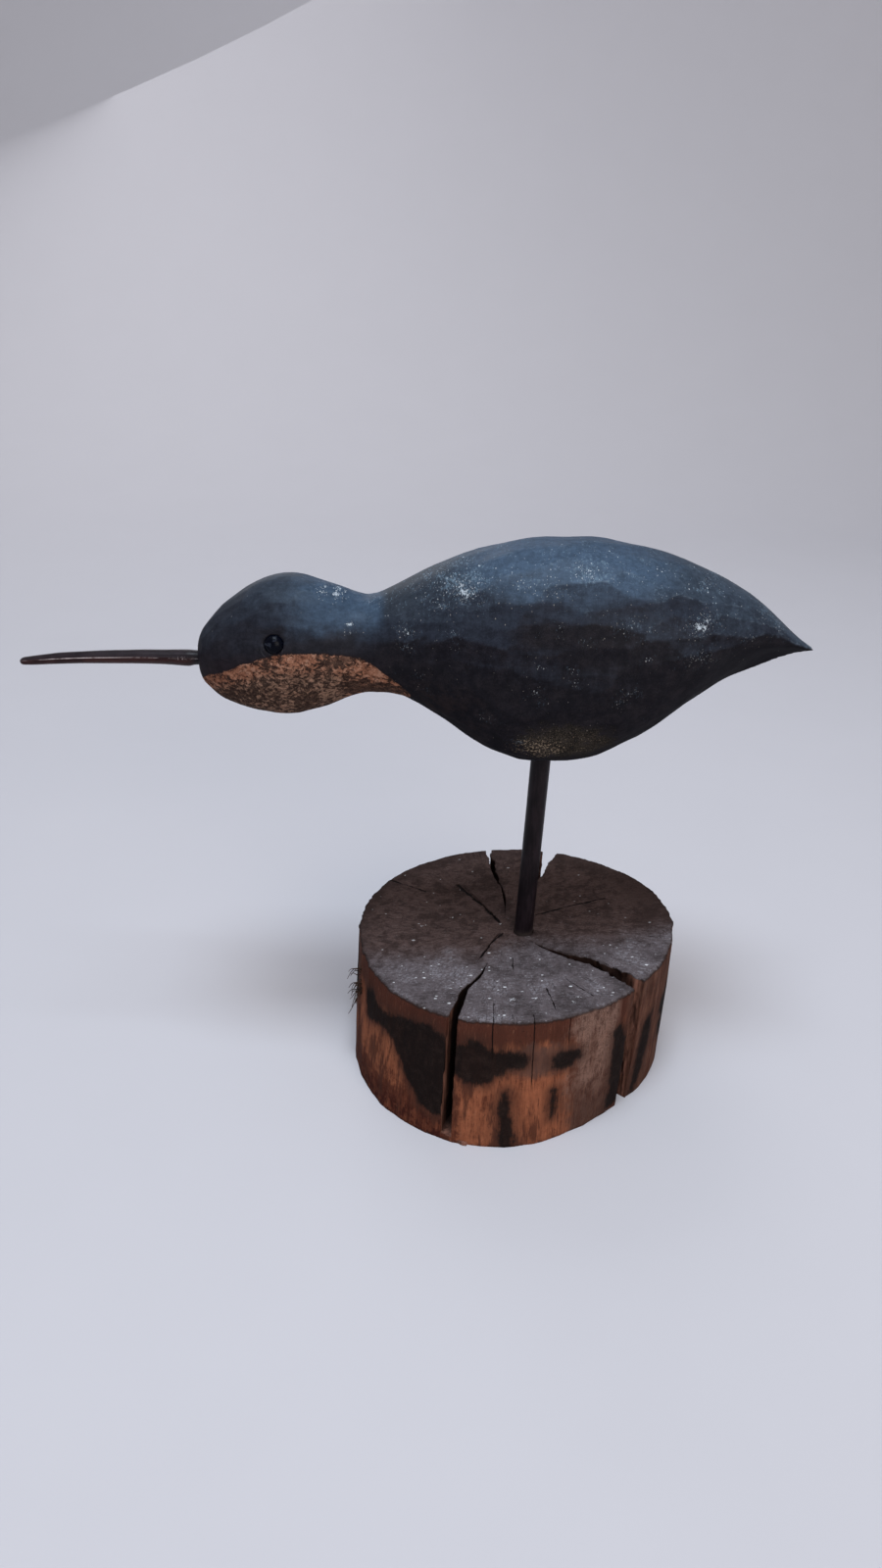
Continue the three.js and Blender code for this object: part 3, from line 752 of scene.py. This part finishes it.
def billLacquer():
    paint = Paint("billLacquer", IOR=1.5, Specular_IOR_Level=0.12)
    lip, x = paint.stored("lip"), paint.x
    long = paint.grain(0.8, (9, 1, 1), detail=3, rough=0.6)
    patches = paint.grain(7, detail=3, shift=5)
    fine = paint.grain(0.4, detail=2)
    lower = paint.blend((0.015, 0.006, 0.0068), (0.034, 0.013, 0.0125),
                        (long * 0.6 + patches * 0.5).between(0.42, 0.68))
    upper = paint.blend((0.0095, 0.006, 0.0078), (0.0165, 0.0108, 0.0138),
                        (patches * 0.7 + long * 0.4).between(0.42, 0.66))
    # the pale line on the edge, worn paint and a painted highlight together, strongest in the middle, and
    # scuffs at the head
    dashes = paint.grain(1.3, (3, 1, 1), detail=3, rough=0.7, shift=21) + 0.3 * (patches - 0.5)
    middle = (x.between(-190, -176) * x.under(-160, -146)).most(0.45)
    worn = abs(lip - 0.2 * (fine - 0.5)).under(0.04, 0.2)
    worn *= (dashes + 0.1 * middle).between(0.46, 0.6)
    scuffs = paint.grain(0.7, (0.6, 1, 2.5), detail=3, rough=0.7, shift=17)
    scuffs = (scuffs + 0.1 * fine).between(0.6, 0.68)
    scuffs *= x.between(-134, -130) * x.under(-127, -125) * abs(lip).under(0.3, 0.9)
    scratch = paint.grain(0.35, (14, 1, 1), detail=1, shift=9).between(0.7, 0.76)
    colour = paint.layers(
        lower,
        (upper, (lip + 0.5 * (long - 0.5)).between(0.0, 0.5)),
        ((0.01, 0.008, 0.01), x.between(-127.5, -124)),
        ((0.42, 0.37, 0.37), worn * middle * x.between(-198, -186)),
        ((0.34, 0.29, 0.29), scuffs * 0.8),
        ((0.1, 0.075, 0.07), scratch * 0.35))
    roughness = 0.34 + 0.14 * (patches - 0.5) + 0.2 * scratch + 0.08 * fine
    return paint.finish(colour, roughness, 0.03 * long - 0.02 * scratch + 0.008 * fine)


print("bill")
makeBill()


# The eyes

eyes = {
    "radius": 3.65,
    "dome": 2.1,  # how far the front stands out from the widest part
    "back": 4.3,
    "depth": 4.4,
    "tilt": 10,  # degrees upwards
}


def makeEye(node, name, side):
    low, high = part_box(node)
    lean = math.radians(eyes["tilt"])
    out = Vector((0, -side * math.cos(lean), math.sin(lean)))
    bpy.ops.mesh.primitive_uv_sphere_add(segments=48, ring_count=24, radius=eyes["radius"] * mm)
    bead = newest(name)
    for front, height in ((True, eyes["dome"]), (False, eyes["back"])):
        share = height / eyes["radius"]
        for vertex in bead.data.vertices:
            vertex.select = (vertex.co.z > 0.01 * mm) == front and abs(vertex.co.z) > 0.01 * mm
        mode("EDIT")
        bpy.ops.transform.resize(value=(1, 1, share), center_override=(0, 0, 0))
        mode("OBJECT")
    middle = (low + high) / 2
    seat = middle - out * (eyes["dome"] - eyes["depth"]) / 2 * mm
    bead.matrix_world = aimed(seat, out, "Z", "X")
    settle(bead)
    smoothShade(bead, 80)
    bead.data.materials.append(eyeGlass())
    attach(bead, "root")
    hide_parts(node)


def eyeGlass():
    paint = Paint("eyeGlass", IOR=1.5, Specular_IOR_Level=0.06)
    dust = paint.grain(0.5, detail=3, shift=2)
    highlightNoise = paint.grain(1.9, (1.3, 1, 1), detail=2, shift=6)
    # film: painted dull highlights on the upper front quarter
    high = (paint.z - 0.5 * (paint.x - body["eye"][0]) + 2 * (dust - 0.5)).between(195.8, 197.4)
    film = highlightNoise.between(0.5, 0.62) * high
    colour = paint.layers((0.0008, 0.0012, 0.0036), ((0.024, 0.028, 0.04), film * 0.8),
                          ((0.1, 0.1, 0.11), dust.between(0.72, 0.8) * 0.4))
    return paint.finish(colour, 0.22 + 0.2 * film + 0.1 * dust, dust * 0.006)


print("eyes")
makeEye("eye_left", "left_eye", 1)
makeEye("eye_right", "right_eye", -1)


# The rod

rod = {
    "foot": (8.7, -2.2, 60.62),  # where it leaves the log
    "lean": 2,  # degrees towards the tail
    "inLog": 28,
    "above": 107.1,
    "radius": 4,
    "bevel": 0.6,
    "rings": 30,  # edges round it, so that it can waver a little
    "waver": 0.06,
}


def makeRod():
    lean = math.radians(rod["lean"])
    axis = Vector((math.sin(lean), 0, math.cos(lean)))
    length = rod["inLog"] + rod["above"]
    middle = Vector(rod["foot"]) + axis * (rod["above"] - rod["inLog"]) / 2
    bpy.ops.mesh.primitive_cylinder_add(vertices=40, radius=rod["radius"] * mm, depth=length * mm)
    piece = newest("dark_rod")
    mode("EDIT")
    for k in range(1, rod["rings"]):
        bpy.ops.mesh.select_all(action="SELECT")
        height = (k / rod["rings"] - 0.5) * length * mm
        bpy.ops.mesh.bisect(plane_co=(0, 0, height), plane_no=(0, 0, 1))
    mode("OBJECT")
    rims = [abs(abs(v.co.z) - length / 2 * mm) < 1e-6 for v in piece.data.vertices]
    for edge in piece.data.edges:
        edge.select = all(rims[i] for i in edge.vertices)
    mode("EDIT")
    bpy.ops.mesh.select_mode(type="EDGE")
    bpy.ops.mesh.bevel(offset=rod["bevel"] * mm, segments=3)
    mode("OBJECT")
    points = readVectors(piece)
    outward = points * (1, 1, 0)
    outward /= np.maximum(np.linalg.norm(outward, axis=1), 0.1)[:, None]
    points += outward * (rod["waver"] * lumps(points, 6, 5, (1, 1, 3)))[:, None]
    writePoints(piece, points)
    piece.matrix_world = aimed(middle * mm, axis, "Z", "X")
    settle(piece)
    smoothShade(piece, 40)
    piece.data.materials.append(rodPaint())
    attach(piece, "root")
    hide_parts("leg_rod")


def rodPaint():
    paint = Paint("rodPaint", IOR=1.5, Specular_IOR_Level=0.1)
    long = paint.grain(0.7, (1, 1, 16), detail=4, rough=0.6)
    patches = paint.grain(6, (1, 1, 2), detail=3, shift=3)
    fine = paint.grain(0.35, detail=2)
    scratch = paint.grain(0.4, (1, 1, 7), detail=2, rough=0.7, shift=12).between(0.7, 0.76)
    nick = (paint.grain(0.9, (1, 1, 2), detail=2, shift=31) + 0.2 * (patches - 0.5)).between(0.74, 0.78)
    foot = (paint.z + 3 * (fine - 0.5)).under(60.5, 63.5)
    colour = paint.layers(
        (0.0048, 0.0034, 0.0046),
        ((0.0135, 0.0092, 0.012), (long * 0.5 + patches * 0.6).between(0.45, 0.7)),
        ((0.085, 0.065, 0.06), (scratch * 0.5).most(nick * 0.8)),
        ((0.05, 0.04, 0.036), foot * 0.5))
    roughness = 0.42 + 0.2 * (patches - 0.5) - 0.1 * long + 0.2 * nick
    return paint.finish(colour, roughness, 0.035 * long + 0.012 * fine - 0.05 * nick - 0.02 * scratch)


print("rod")
makeRod()


# The log slice

log = {
    "net": 1.5,  # the surface is cut into squares of this size before it is roughened
    "heart": (0, 1.5),
    "top": 60.1,  # height over the origin
    "slope": math.tan(math.radians(3.4)),
    "fibre": 0.22,  # relief along the grain on the side
    "tear": 1.7,  # roughness of the crack walls
    "rim": 0.6,  # how far the sawn edge is frayed
    "saw": 0.16,
    "radius": 67,
    "narrowAt": 116,  # degrees to either side of straight right, where two narrow cracks are
}
# outlines of the dark stains on the side that faces the front, as degrees round the heart and height
stains = [
    [(-156, 45), (-150, 47), (-145, 44), (-140, 44), (-133, 47), (-125, 49), (-118, 51), (-113, 48),
     (-109, 44), (-109, 30), (-109, 12), (-114, 11), (-119, 13), (-122, 18), (-127, 23), (-130, 30),
     (-134, 36), (-138, 38), (-145, 36), (-153, 33)],
    [(-109, 46), (-105, 47), (-103, 50), (-100, 50), (-97, 47), (-93, 46), (-88, 46), (-85, 46),
     (-83, 43), (-85, 40), (-89, 39), (-93, 36), (-96, 32), (-100, 30), (-104, 31), (-108, 34)],
    [(-75, 42), (-72, 44), (-68, 44), (-65, 43), (-64, 40), (-67, 39), (-68, 37), (-72, 37), (-74, 38)],
    [(-91, 27), (-90, 28), (-89, 23), (-89, 18), (-88, 12), (-87, 4), (-88, -1), (-91, -1), (-91.5, 5),
     (-92, 20)],
    [(-74.3, 26), (-73, 26), (-72.5, 17), (-74, 12), (-74.3, 17)],
    [(-50, 45), (-48, 48), (-44, 38), (-43, 27), (-43, 3), (-49, 3), (-48, 13), (-49, 23), (-49.5, 33)],
    [(-32, 38), (-28, 41), (-28, 27), (-30, 10), (-34, 1), (-34, 16)],
]
# and of those on the other sides: degrees, height, half width in degrees, half height
roundStains = [(-10, 33, 6, 12), (20, 38, 12, 8), (27, 22, 6, 16), (66, 40, 13, 7), (60, 24, 4, 14),
               (96, 30, 5, 9), (112, 38, 13, 9), (121, 22, 7, 15), (152, 42, 12, 6), (158, 26, 5, 14),
               (179, 36, 8, 8), (36, 10, 1.1, 12), (133, 12, 1.3, 13), (163, 10, 1.1, 11),
               (-5, 8, 1.0, 10)]
# white scuffs on the top: x, y, reach
chalkMarks = [(1.6, -51.1, 2.6), (10.9, -50.7, 2.3), (-14.8, -33.8, 2.4), (-31.5, -32.6, 1.4),
              (20, -40.8, 1.3), (10.4, -7.2, 1.5), (7.8, -35.7, 1.4), (37.6, -42.6, 1.3),
              (28, -50.6, 1.8), (43.6, -37.9, 1.3), (-36, 3.8, 1.5), (-34.4, 7.6, 1.4), (-22.4, 9.9, 1.6),
              (-18.9, 61.1, 1.5), (-17.3, 44.9, 1.5), (-34.8, 51.1, 1.2), (25.7, -53.7, 1.8),
              (-22, -38, 1.4), (6, -46, 1.6), (33, -34, 1.2)]
# where the top turns paler towards the front, as x and y: paler weathered wood in front, and behind it the
# painted shadow of the bird on the browner back
shadowAndWeatherEdge = [(-62, -18), (-8, -21), (2, -13), (13, -9), (36, -13), (45, -12), (56, -7), (72, -2)]


def topHeight(x):
    return log["top"] + log["slope"] * x


def makeLog():
    piece = solidCopy("log_base", "log_slice")
    cutIntoNet(piece)
    points, normals = surface(piece)
    angle, out = polar(points)
    inner = barkReach(points, angle, out) - out
    radial = normals[:, 0] * np.cos(np.radians(angle)) + normals[:, 1] * np.sin(np.radians(angle))
    bark = (radial > 0.8) & (inner < 5)  # and not a crack's wall
    inner = np.where(bark, np.minimum(inner, 0.4), inner)
    below = topHeight(points[:, 0]) - points[:, 2]
    onTop = unit(1.6 - below) * (normals[:, 2] > 0.5)
    level = normals * (1, 1, 0)
    slanted = np.linalg.norm(level, axis=1)
    level /= np.maximum(slanted, 0.01)[:, None]
    upright = unit((slanted - 0.3) / 0.2)
    wall = unit((inner - 1.2) / 2) * upright
    side = (1 - wall) * upright
    fibres = lumps(points, 1.3, 1, (1, 1, 14)) + 0.8 * lumps(points, 4, 2, (1, 1, 9))
    torn = 0.7 * lumps(points, 1.6, 3, (1, 1, 3)) + np.round(3 * lumps(points, 4.5, 4, (1, 1, 5))) / 3
    # cracks are narrow near the heart, and two are narrow throughout
    roomy = np.clip((out - 14) / 40, 0.15, 1)
    roomy *= np.where(abs(abs(angle) - log["narrowAt"]) < 14, np.clip(3 - inner, 0.2, 1), 1)
    frayed = lumps(points, 1.1, 5, (1, 1, 5)) + 0.45 * lumps(points, 3.4, 12, (1, 1, 4)) - 0.2
    frayed *= unit(1.5 - abs(below - 0.6) / 1.5)
    sawn = lumps(points, 1.6, 6, (1, 3, 1)) + 0.8 * lumps(points, 11, 7)
    move = side * (log["fibre"] * fibres + log["rim"] * frayed) + wall * log["tear"] * torn * roomy
    points += level * (move * unit(points[:, 2] / 2))[:, None]
    points[:, 2] += log["saw"] * sawn * onTop
    points[:, 2] = np.maximum(points[:, 2], 0)
    writePoints(piece, points)
    store(piece, "inner", inner)
    store(piece, "below", below)
    store(piece, "stain", stainField(points, angle))
    chalk = np.zeros(len(points))
    for x, y, reach in chalkMarks:
        distance = (points[:, 0] - x) ** 2 + (1.4 * (points[:, 1] - y)) ** 2
        chalk = np.maximum(chalk, np.exp(-distance / reach ** 2))
    store(piece, "chalk", chalk)
    x, y = zip(*shadowAndWeatherEdge)
    store(piece, "forward", np.interp(points[:, 0], x, y) - points[:, 1])
    piece.data.materials.append(logWood())
    smoothShade(piece, 50)
    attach(piece, "root")
    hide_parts("log_base")


def cutIntoNet(piece):
    low, high = (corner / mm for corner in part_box("log_base"))
    mesh = bmesh.new()
    mesh.from_mesh(piece.data)
    for axis in range(3):
        way = Vector([float(k == axis) for k in range(3)])
        count = int((high[axis] - low[axis]) / log["net"])
        for k in range(1, count):
            place = way * (low[axis] + k * (high[axis] - low[axis]) / count) * mm
            bmesh.ops.bisect_plane(mesh, geom=mesh.verts[:] + mesh.edges[:] + mesh.faces[:],
                                   dist=0.02 * mm, plane_co=place, plane_no=way)
    bmesh.ops.remove_doubles(mesh, verts=mesh.verts[:], dist=0.005 * mm)
    mesh.to_mesh(piece.data)
    mesh.free()


def polar(points):
    x, y = points[:, 0] - log["heart"][0], points[:, 1] - log["heart"][1]
    return np.degrees(np.arctan2(y, x)), np.hypot(x, y)


def barkReach(points, angle, out):  # the log's radius in each direction and height
    reach = np.zeros((90, 4))
    slot = ((angle + 180) // 4).astype(int) % 90
    level = np.clip(points[:, 2] // 16, 0, 3).astype(int)
    np.maximum.at(reach, (slot, level), out)
    near = np.stack([np.roll(reach, k, 0) for k in (-1, 0, 1)])
    reach = np.maximum(reach, near.max(0) - 1.5)
    return reach[slot, level]


def stainField(points, angle):  # millimetres inside a stain's edge, below 0 outside
    turn = math.radians(1) * log["radius"]  # one degree on the bark
    height = points[:, 2]
    around = angle + 6 * lumps(points, 13, 21) + 3 * lumps(points, 5, 22)
    upright = height + 7 * lumps(points, 13, 23) + 3 * lumps(points, 5, 24, (1, 1, 2))
    field = np.full(len(angle), -30.0)
    for outline in stains:
        a, z = np.array(outline, float).T
        field = np.maximum(field, insideOutline(angle * turn, height, a * turn, z))
    for a, z, wide, high in roundStains:
        off = (around - a + 180) % 360 - 180
        reach = np.hypot(off / wide, (upright - z) / high)
        field = np.maximum(field, 0.6 * (1 - reach) * min(wide * turn, high))
    return field


def insideOutline(x, y, cornersX, cornersY):
    nearest, inside = np.full(len(x), 1e9), np.zeros(len(x), bool)
    for ax, ay, bx, by in zip(cornersX, cornersY, np.roll(cornersX, -1), np.roll(cornersY, -1)):
        dx, dy = bx - ax, by - ay
        share = unit(((x - ax) * dx + (y - ay) * dy) / (dx ** 2 + dy ** 2))
        nearest = np.minimum(nearest, np.hypot(x - ax - share * dx, y - ay - share * dy))
        if dy:
            inside ^= ((ay > y) != (by > y)) & (x < dx * (y - ay) / dy + ax)
    return np.where(inside, nearest, -nearest)


def logWood():
    paint = Paint("weatheredLog", IOR=1.45, Specular_IOR_Level=0.05)
    x, y = paint.x, paint.y
    below, inner = paint.stored("below"), paint.stored("inner")
    out = (x ** 2 + (y - log["heart"][1]) ** 2) ** 0.5
    ray = (x / out, (y - log["heart"][1]) / out)
    cloud = paint.grain(16, detail=4, rough=0.6)
    dabs = paint.grain(4.5, detail=5, rough=0.68, shift=9)
    fine = paint.grain(0.55, detail=4, rough=0.7)
    hairs = paint.grain(0.5, (1, 1, 22), detail=4, rough=0.65)
    bands = paint.grain(3.0, (1, 1, 12), detail=5, rough=0.62, shift=5)
    ragged = paint.grain(1.6, (1, 1, 2.5), detail=5, rough=0.7, shift=15)
    side = barkSide(paint, below, cloud, dabs, fine, hairs, bands, ragged)
    top, checks = sawnTop(paint, ray, out, cloud, dabs, fine)
    # crack walls: dark, browner near the opening, and darker deeper in as painted shade
    wall = paint.layers(
        (0.05, 0.022, 0.016),
        ((0.2, 0.092, 0.066), (bands * 0.8 + hairs * 0.3).between(0.4, 0.7)),
        ((0.012, 0.007, 0.006), (inner + 4 * (bands - 0.5)).between(3.5, 10) * 0.92))
    lines = thinCracks(paint, dabs)
    onTop = (below + 0.8 * (ragged - 0.5)).under(0.5, 1.0)
    rim = abs(below - 0.9 + 1.5 * (ragged - 0.5)).under(0.1, 1.0) * inner.under(1.5, 3)
    colour = paint.layers(
        side,
        (wall, (inner + 0.8 * (dabs - 0.5)).between(1.2, 2.4)),
        (top, onTop),
        ((0.016, 0.011, 0.01), rim * 0.7),
        ((0.006, 0.004, 0.004), lines))
    height = ((1 - onTop) * (0.3 * bands + 0.22 * hairs + 0.1 * ragged)
              + onTop * (0.3 * fine + 0.25 * dabs - 0.3 * checks) + 0.06 * fine - 0.7 * lines)
    return paint.finish(colour, 0.85 + 0.12 * (dabs - 0.5), height)


def barkSide(paint, below, cloud, dabs, fine, hairs, bands, ragged):
    x, y, z = paint.x, paint.y, paint.z
    dab, sway, fray = dabs - 0.5, bands - 0.5, ragged - 0.5
    # red-brown, orange in front and on the right, dark red at the left's foot
    front = (x + 14 * dab).between(-26, -18) * x.under(26, 34) * y.under(-30, 0)
    left = x.under(-44, -30) * y.under(-20, 20) * (z + 16 * dab).between(2, 22)
    bright = (front.most(left * 1.1) * (bands * 0.6 + dabs * 0.5 + 0.25 * ragged)).between(0.4, 0.86)
    maroon = (z + 12 * dab).under(6, 18) * (1 - front)
    band = (below + 9 * sway + 5 * dab).under(9, 15)  # it runs round under the rim
    # the pale weathered patch at the right
    tan = ((x + 9 * fray + 10 * dab + 16 * (cloud - 0.5)).between(21, 31) * y.under(-48, -36)
           * x.under(43, 47))
    worms = abs(paint.grain(1.7, detail=2, warp=0.8, shift=40) - 0.5).under(0.0, 0.03)
    grey = paint.layers(
        (0.07, 0.038, 0.03),
        ((0.165, 0.098, 0.078), (dabs * 0.6 + ragged * 0.6).between(0.46, 0.66)),
        ((0.26, 0.17, 0.14), worms * (z + 10 * dab).between(30, 40) * 0.6),
        ((0.045, 0.021, 0.016), (z + 14 * dab).under(14, 30) * 0.75))
    far = x.between(46, 52).most(y.between(-30, 10))
    plain = paint.blend((0.045, 0.022, 0.016), (0.13, 0.068, 0.05),
                        (bands * 0.7 + dabs * 0.4).between(0.4, 0.7))
    pits = (ragged * 0.6 + fine * 0.5).between(0.62, 0.72)
    long = paint.grain(4.5, (1, 1, 5), detail=4, rough=0.6, shift=33)
    smoke = (paint.oval(13, 42, 16, 9) + 2 * dab).under(0.3, 1.2)
    smoke *= y.under(-40, -20)
    # the stains, with a brown haze round them
    edge = paint.stored("stain") + 0.9 + 5 * dab + 4 * fray + 1.5 * (hairs - 0.5)
    inky = paint.blend((0.0062, 0.0046, 0.0046), (0.0155, 0.0108, 0.0098),
                       (dabs * 0.6 + fine * 0.5).between(0.5, 0.72))
    return paint.layers(
        (0.042, 0.012, 0.008),
        ((0.13, 0.041, 0.022), (bands * 0.6 + ragged * 0.5).between(0.36, 0.66)),
        ((0.26, 0.09, 0.046), bright),
        ((0.028, 0.006, 0.005), maroon * (ragged * 0.5 + dabs * 0.6).between(0.5, 0.6) * 0.85),
        ((0.05, 0.017, 0.012), band * 0.92),
        ((0.105, 0.046, 0.03), band * hairs.between(0.54, 0.66) * 0.5),
        (grey, tan * 0.9),
        (plain, far * 0.7),
        ((0.022, 0.008, 0.007), hairs.between(0.55, 0.68) * 0.65),
        ((0.3, 0.14, 0.085), (1 - hairs).between(0.56, 0.7) * 0.45 * bands),
        ((0.016, 0.007, 0.006), pits * 0.8),
        ((0.05, 0.018, 0.012), (long + 0.3 * sway).between(0.51, 0.64) * (0.8 - 0.5 * tan)),
        ((0.075, 0.042, 0.034), smoke * 0.75),
        ((0.036, 0.017, 0.013), edge.between(-5.5, 0.5) * 0.6),
        (inky, edge.between(-1.0, 1.6) * 0.95))


def sawnTop(paint, ray, out, cloud, dabs, fine):  # grey and weathered, paler in front, browner at the back
    drift, dab = cloud - 0.5, dabs - 0.5
    nap = paint.grain(1.1, detail=5, rough=0.72, shift=2)
    fuzz = paint.grain(0.7, detail=4, rough=0.7, where=paint.stretched((4, 0.8, 1), (0, 0, 50), 17))
    # the paler front and the browner back are partly weathering and partly the painted shadow of the bird
    # on the back
    pale = (paint.stored("forward") + 18 * drift + 20 * dab).between(-10, 12)
    brown = paint.blend((0.034, 0.0215, 0.0195), (0.068, 0.044, 0.04),
                        (dabs * 0.6 + cloud * 0.5).between(0.46, 0.62))
    grey = paint.layers(
        (0.048, 0.039, 0.041),
        ((0.104, 0.087, 0.093), (cloud * 0.7 + dabs * 0.5).between(0.46, 0.7)),
        ((0.02, 0.016, 0.017), (dabs * 0.5 + fuzz * 0.6).between(0.58, 0.72) * 0.6))
    worn = paint.blend((0.68, 0.66, 0.65), (1.34, 1.34, 1.34),
                       (nap * 0.4 + fine * 0.3 + fuzz * 0.5).between(0.42, 0.76))
    top = paint.blend(paint.blend(brown, grey, pale), worn, 1, "MULTIPLY")
    dust = (cloud * 0.5 + nap * 0.6).between(0.6, 0.66) * pale
    rays = paint.grain(1, detail=2, where=paint.vector(ray[0] * 26, ray[1] * 26, out * 0.04))
    checks = (abs(rays - 0.5).under(0.0, 0.01) * out.between(8, 20)
              * (cloud + 0.4 * dab).between(0.5, 0.56))
    outer = (out + 6 * dab).between(56, 66)
    coats = [
        ((0.26, 0.25, 0.27), (fuzz * 0.7 + fine * 0.4).between(0.6, 0.72) * (0.12 + 0.45 * pale)),
        ((0.21, 0.2, 0.22), dust * 0.5),
        ((0.012, 0.009, 0.009), checks * 0.6),
        ((0.035, 0.022, 0.02), outer * (1 - pale) * 0.5)]
    for size, share, shift in ((3.4, 0.14, 4), (1.9, 0.1, 6)):
        many = share * (0.5 + pale)
        grit = paint.flecks(0.25 * (fine - 0.5), size, (1.6, 1, 1), (0.09, 0.17), many, shift)
        coats.append(((0.62, 0.62, 0.64), grit * (0.5 + 0.4 * pale)))
    chalk = (paint.stored("chalk") * 0.42 + fine * 0.6 + 0.6 * (nap - 0.5)).between(0.61, 0.71)
    return paint.layers(top, *coats, ((0.55, 0.55, 0.57), chalk * 0.8)), checks


# hairline cracks on the top: points in plan, and the width at the widest
hairlines = [([(-52, 44.3), (-43.1, 38.2), (-34.4, 32.3)], 0.7),
             ([(14.1, 9.4), (28.8, 15.9), (36.7, 18.5), (47.1, 22.5)], 0.9),
             ([(-20.2, 38), (-12.9, 25.8), (-8.6, 19.3), (-1.3, 4.9)], 1.5),
             ([(-10.5, -21.8), (-6.1, -12), (-0.3, -3.5)], 0.9), ([(-5.9, -53), (-6.3, -67)], 0.5),
             ([(2.9, -22.4), (3, -31.2)], 0.5), ([(15.8, -43.6), (18.6, -58.1)], 0.5),
             ([(9.7, -61), (9.9, -67)], 0.45), ([(24, -38), (34, -50)], 0.4)]
# and where they run on down the side: x, lowest height, width
runDown = [(-6.3, 41, 0.5), (9.9, 27, 0.45), (24, 45, 0.3)]


def thinCracks(paint, dabs):
    sway = 1.6 * (dabs - 0.5)
    thick = 0.35 + 1.3 * paint.grain(3, detail=2, shift=50).between(0.3, 0.7)
    marks = []
    for points, width in hairlines:
        for start, end in zip(points, points[1:]):
            dx, dy = end[0] - start[0], end[1] - start[1]
            long = math.hypot(dx, dy)
            fromX, fromY = paint.x - start[0], paint.y - start[1]
            along = (fromX * (dx / long) + fromY * (dy / long)) / long
            aside = abs(fromX * (dy / long) - fromY * (dx / long) + sway) / thick
            reach = along.between(-0.05, 0.1) * along.under(0.95, 1.05)
            marks.append((aside / (width / 2)).under(0.4, 1.1) * reach)
    onTop = paint.stored("below").under(0.8, 1.4)
    found = functools.reduce(Wire.most, marks) * onTop
    for x, low, width in runDown:
        aside = abs(paint.x - x + 0.5 * sway) / (width / 2)
        reach = (paint.z + 4 * sway).between(low, low + 6) * paint.y.under(-45, -40) * (1 - onTop)
        found = found.most(aside.under(0.4, 1.1) * reach)
    return found


print("log")
makeLog()


# Loose bark fibres on the log's left side

fibres = {"root": (-62.2, -16, 43), "count": 20, "thick": 0.26, "seed": 4}


def makeFibres():
    chance = random.Random(fibres["seed"])
    curve = bpy.data.curves.new("bark_fibres", "CURVE")
    curve.dimensions, curve.bevel_depth, curve.bevel_resolution = "3D", fibres["thick"] * mm, 1
    curve.use_fill_caps = True
    for _ in range(fibres["count"]):
        start = Vector(fibres["root"]) + Vector((1.2, chance.uniform(-3, 3), chance.uniform(-7, 8)))
        away = Vector((-1, chance.uniform(-0.7, 0.5), chance.uniform(-0.9, 0.5))).normalized()
        length = chance.uniform(4, 8.5)
        hang = Vector((chance.uniform(-0.2, 0.5), chance.uniform(-0.3, 0.3), chance.uniform(-1.2, -0.2)))
        spline = curve.splines.new("POLY")
        spline.points.add(7)
        for k, point in enumerate(spline.points):
            t = k / 7
            place = start + away * length * t + hang * length * t * t * 0.7
            place += Vector((0, 0.5, 0.7)) * math.sin(5 * t + 7 * start.z)
            point.co = (*(place * mm), 1)
            point.radius = 1.2 - 0.8 * t
    pick(added("bark_fibres", curve))
    bpy.ops.object.convert(target="MESH")
    piece = bpy.context.object
    paint = Paint("dryFibre", Specular_IOR_Level=0.1)
    long = paint.grain(0.6, detail=3)
    colour = paint.blend((0.012, 0.007, 0.005), (0.075, 0.036, 0.022), long.between(0.4, 0.7))
    piece.data.materials.append(paint.finish(colour, 0.8 + 0.1 * long, 0.03 * long))
    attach(piece, "root")


# A splinter that bridges the foot of the front crack

flake = {"middle": (-21.2, -65.3, 0.9), "size": (14.6, 2.4, 1.8), "turn": -33, "rough": 0.35, "taper": 0.55}


def makeFlake():
    bpy.ops.mesh.primitive_cube_add(size=1)
    piece = newest("foot_flake")
    mode("EDIT")
    bpy.ops.transform.resize(value=[side * mm for side in flake["size"]])
    bpy.ops.mesh.subdivide(number_cuts=12)
    mode("OBJECT")
    points, normals = surface(piece)
    ends = (2 * points[:, :1] / flake["size"][0]) ** 2
    points[:, 1:] *= 1 - flake["taper"] * ends
    points += normals * (flake["rough"] * lumps(points, 2.2, 9) + 0.2 * lumps(points, 0.8, 2))[:, None]
    writePoints(piece, points)
    mode("EDIT")
    bpy.ops.mesh.select_all(action="SELECT")
    turn = -math.radians(flake["turn"])  # with no window the operator turns the other way
    bpy.ops.transform.rotate(value=turn, orient_axis="Z", center_override=(0, 0, 0))
    bpy.ops.transform.translate(value=[place * mm for place in flake["middle"]])
    mode("OBJECT")
    points = readVectors(piece)
    points[:, 2] = np.maximum(points[:, 2], 0.05)
    writePoints(piece, points)
    smoothShade(piece, 40)
    piece.data.materials.append(bpy.data.materials["weatheredLog"])
    for name in ("inner", "below", "stain", "forward", "chalk"):
        store(piece, name, np.full(len(points), {"inner": 3, "below": 55, "stain": -20}.get(name, 0)))
    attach(piece, "root")


print("fibres and flake")
makeFibres()
makeFlake()
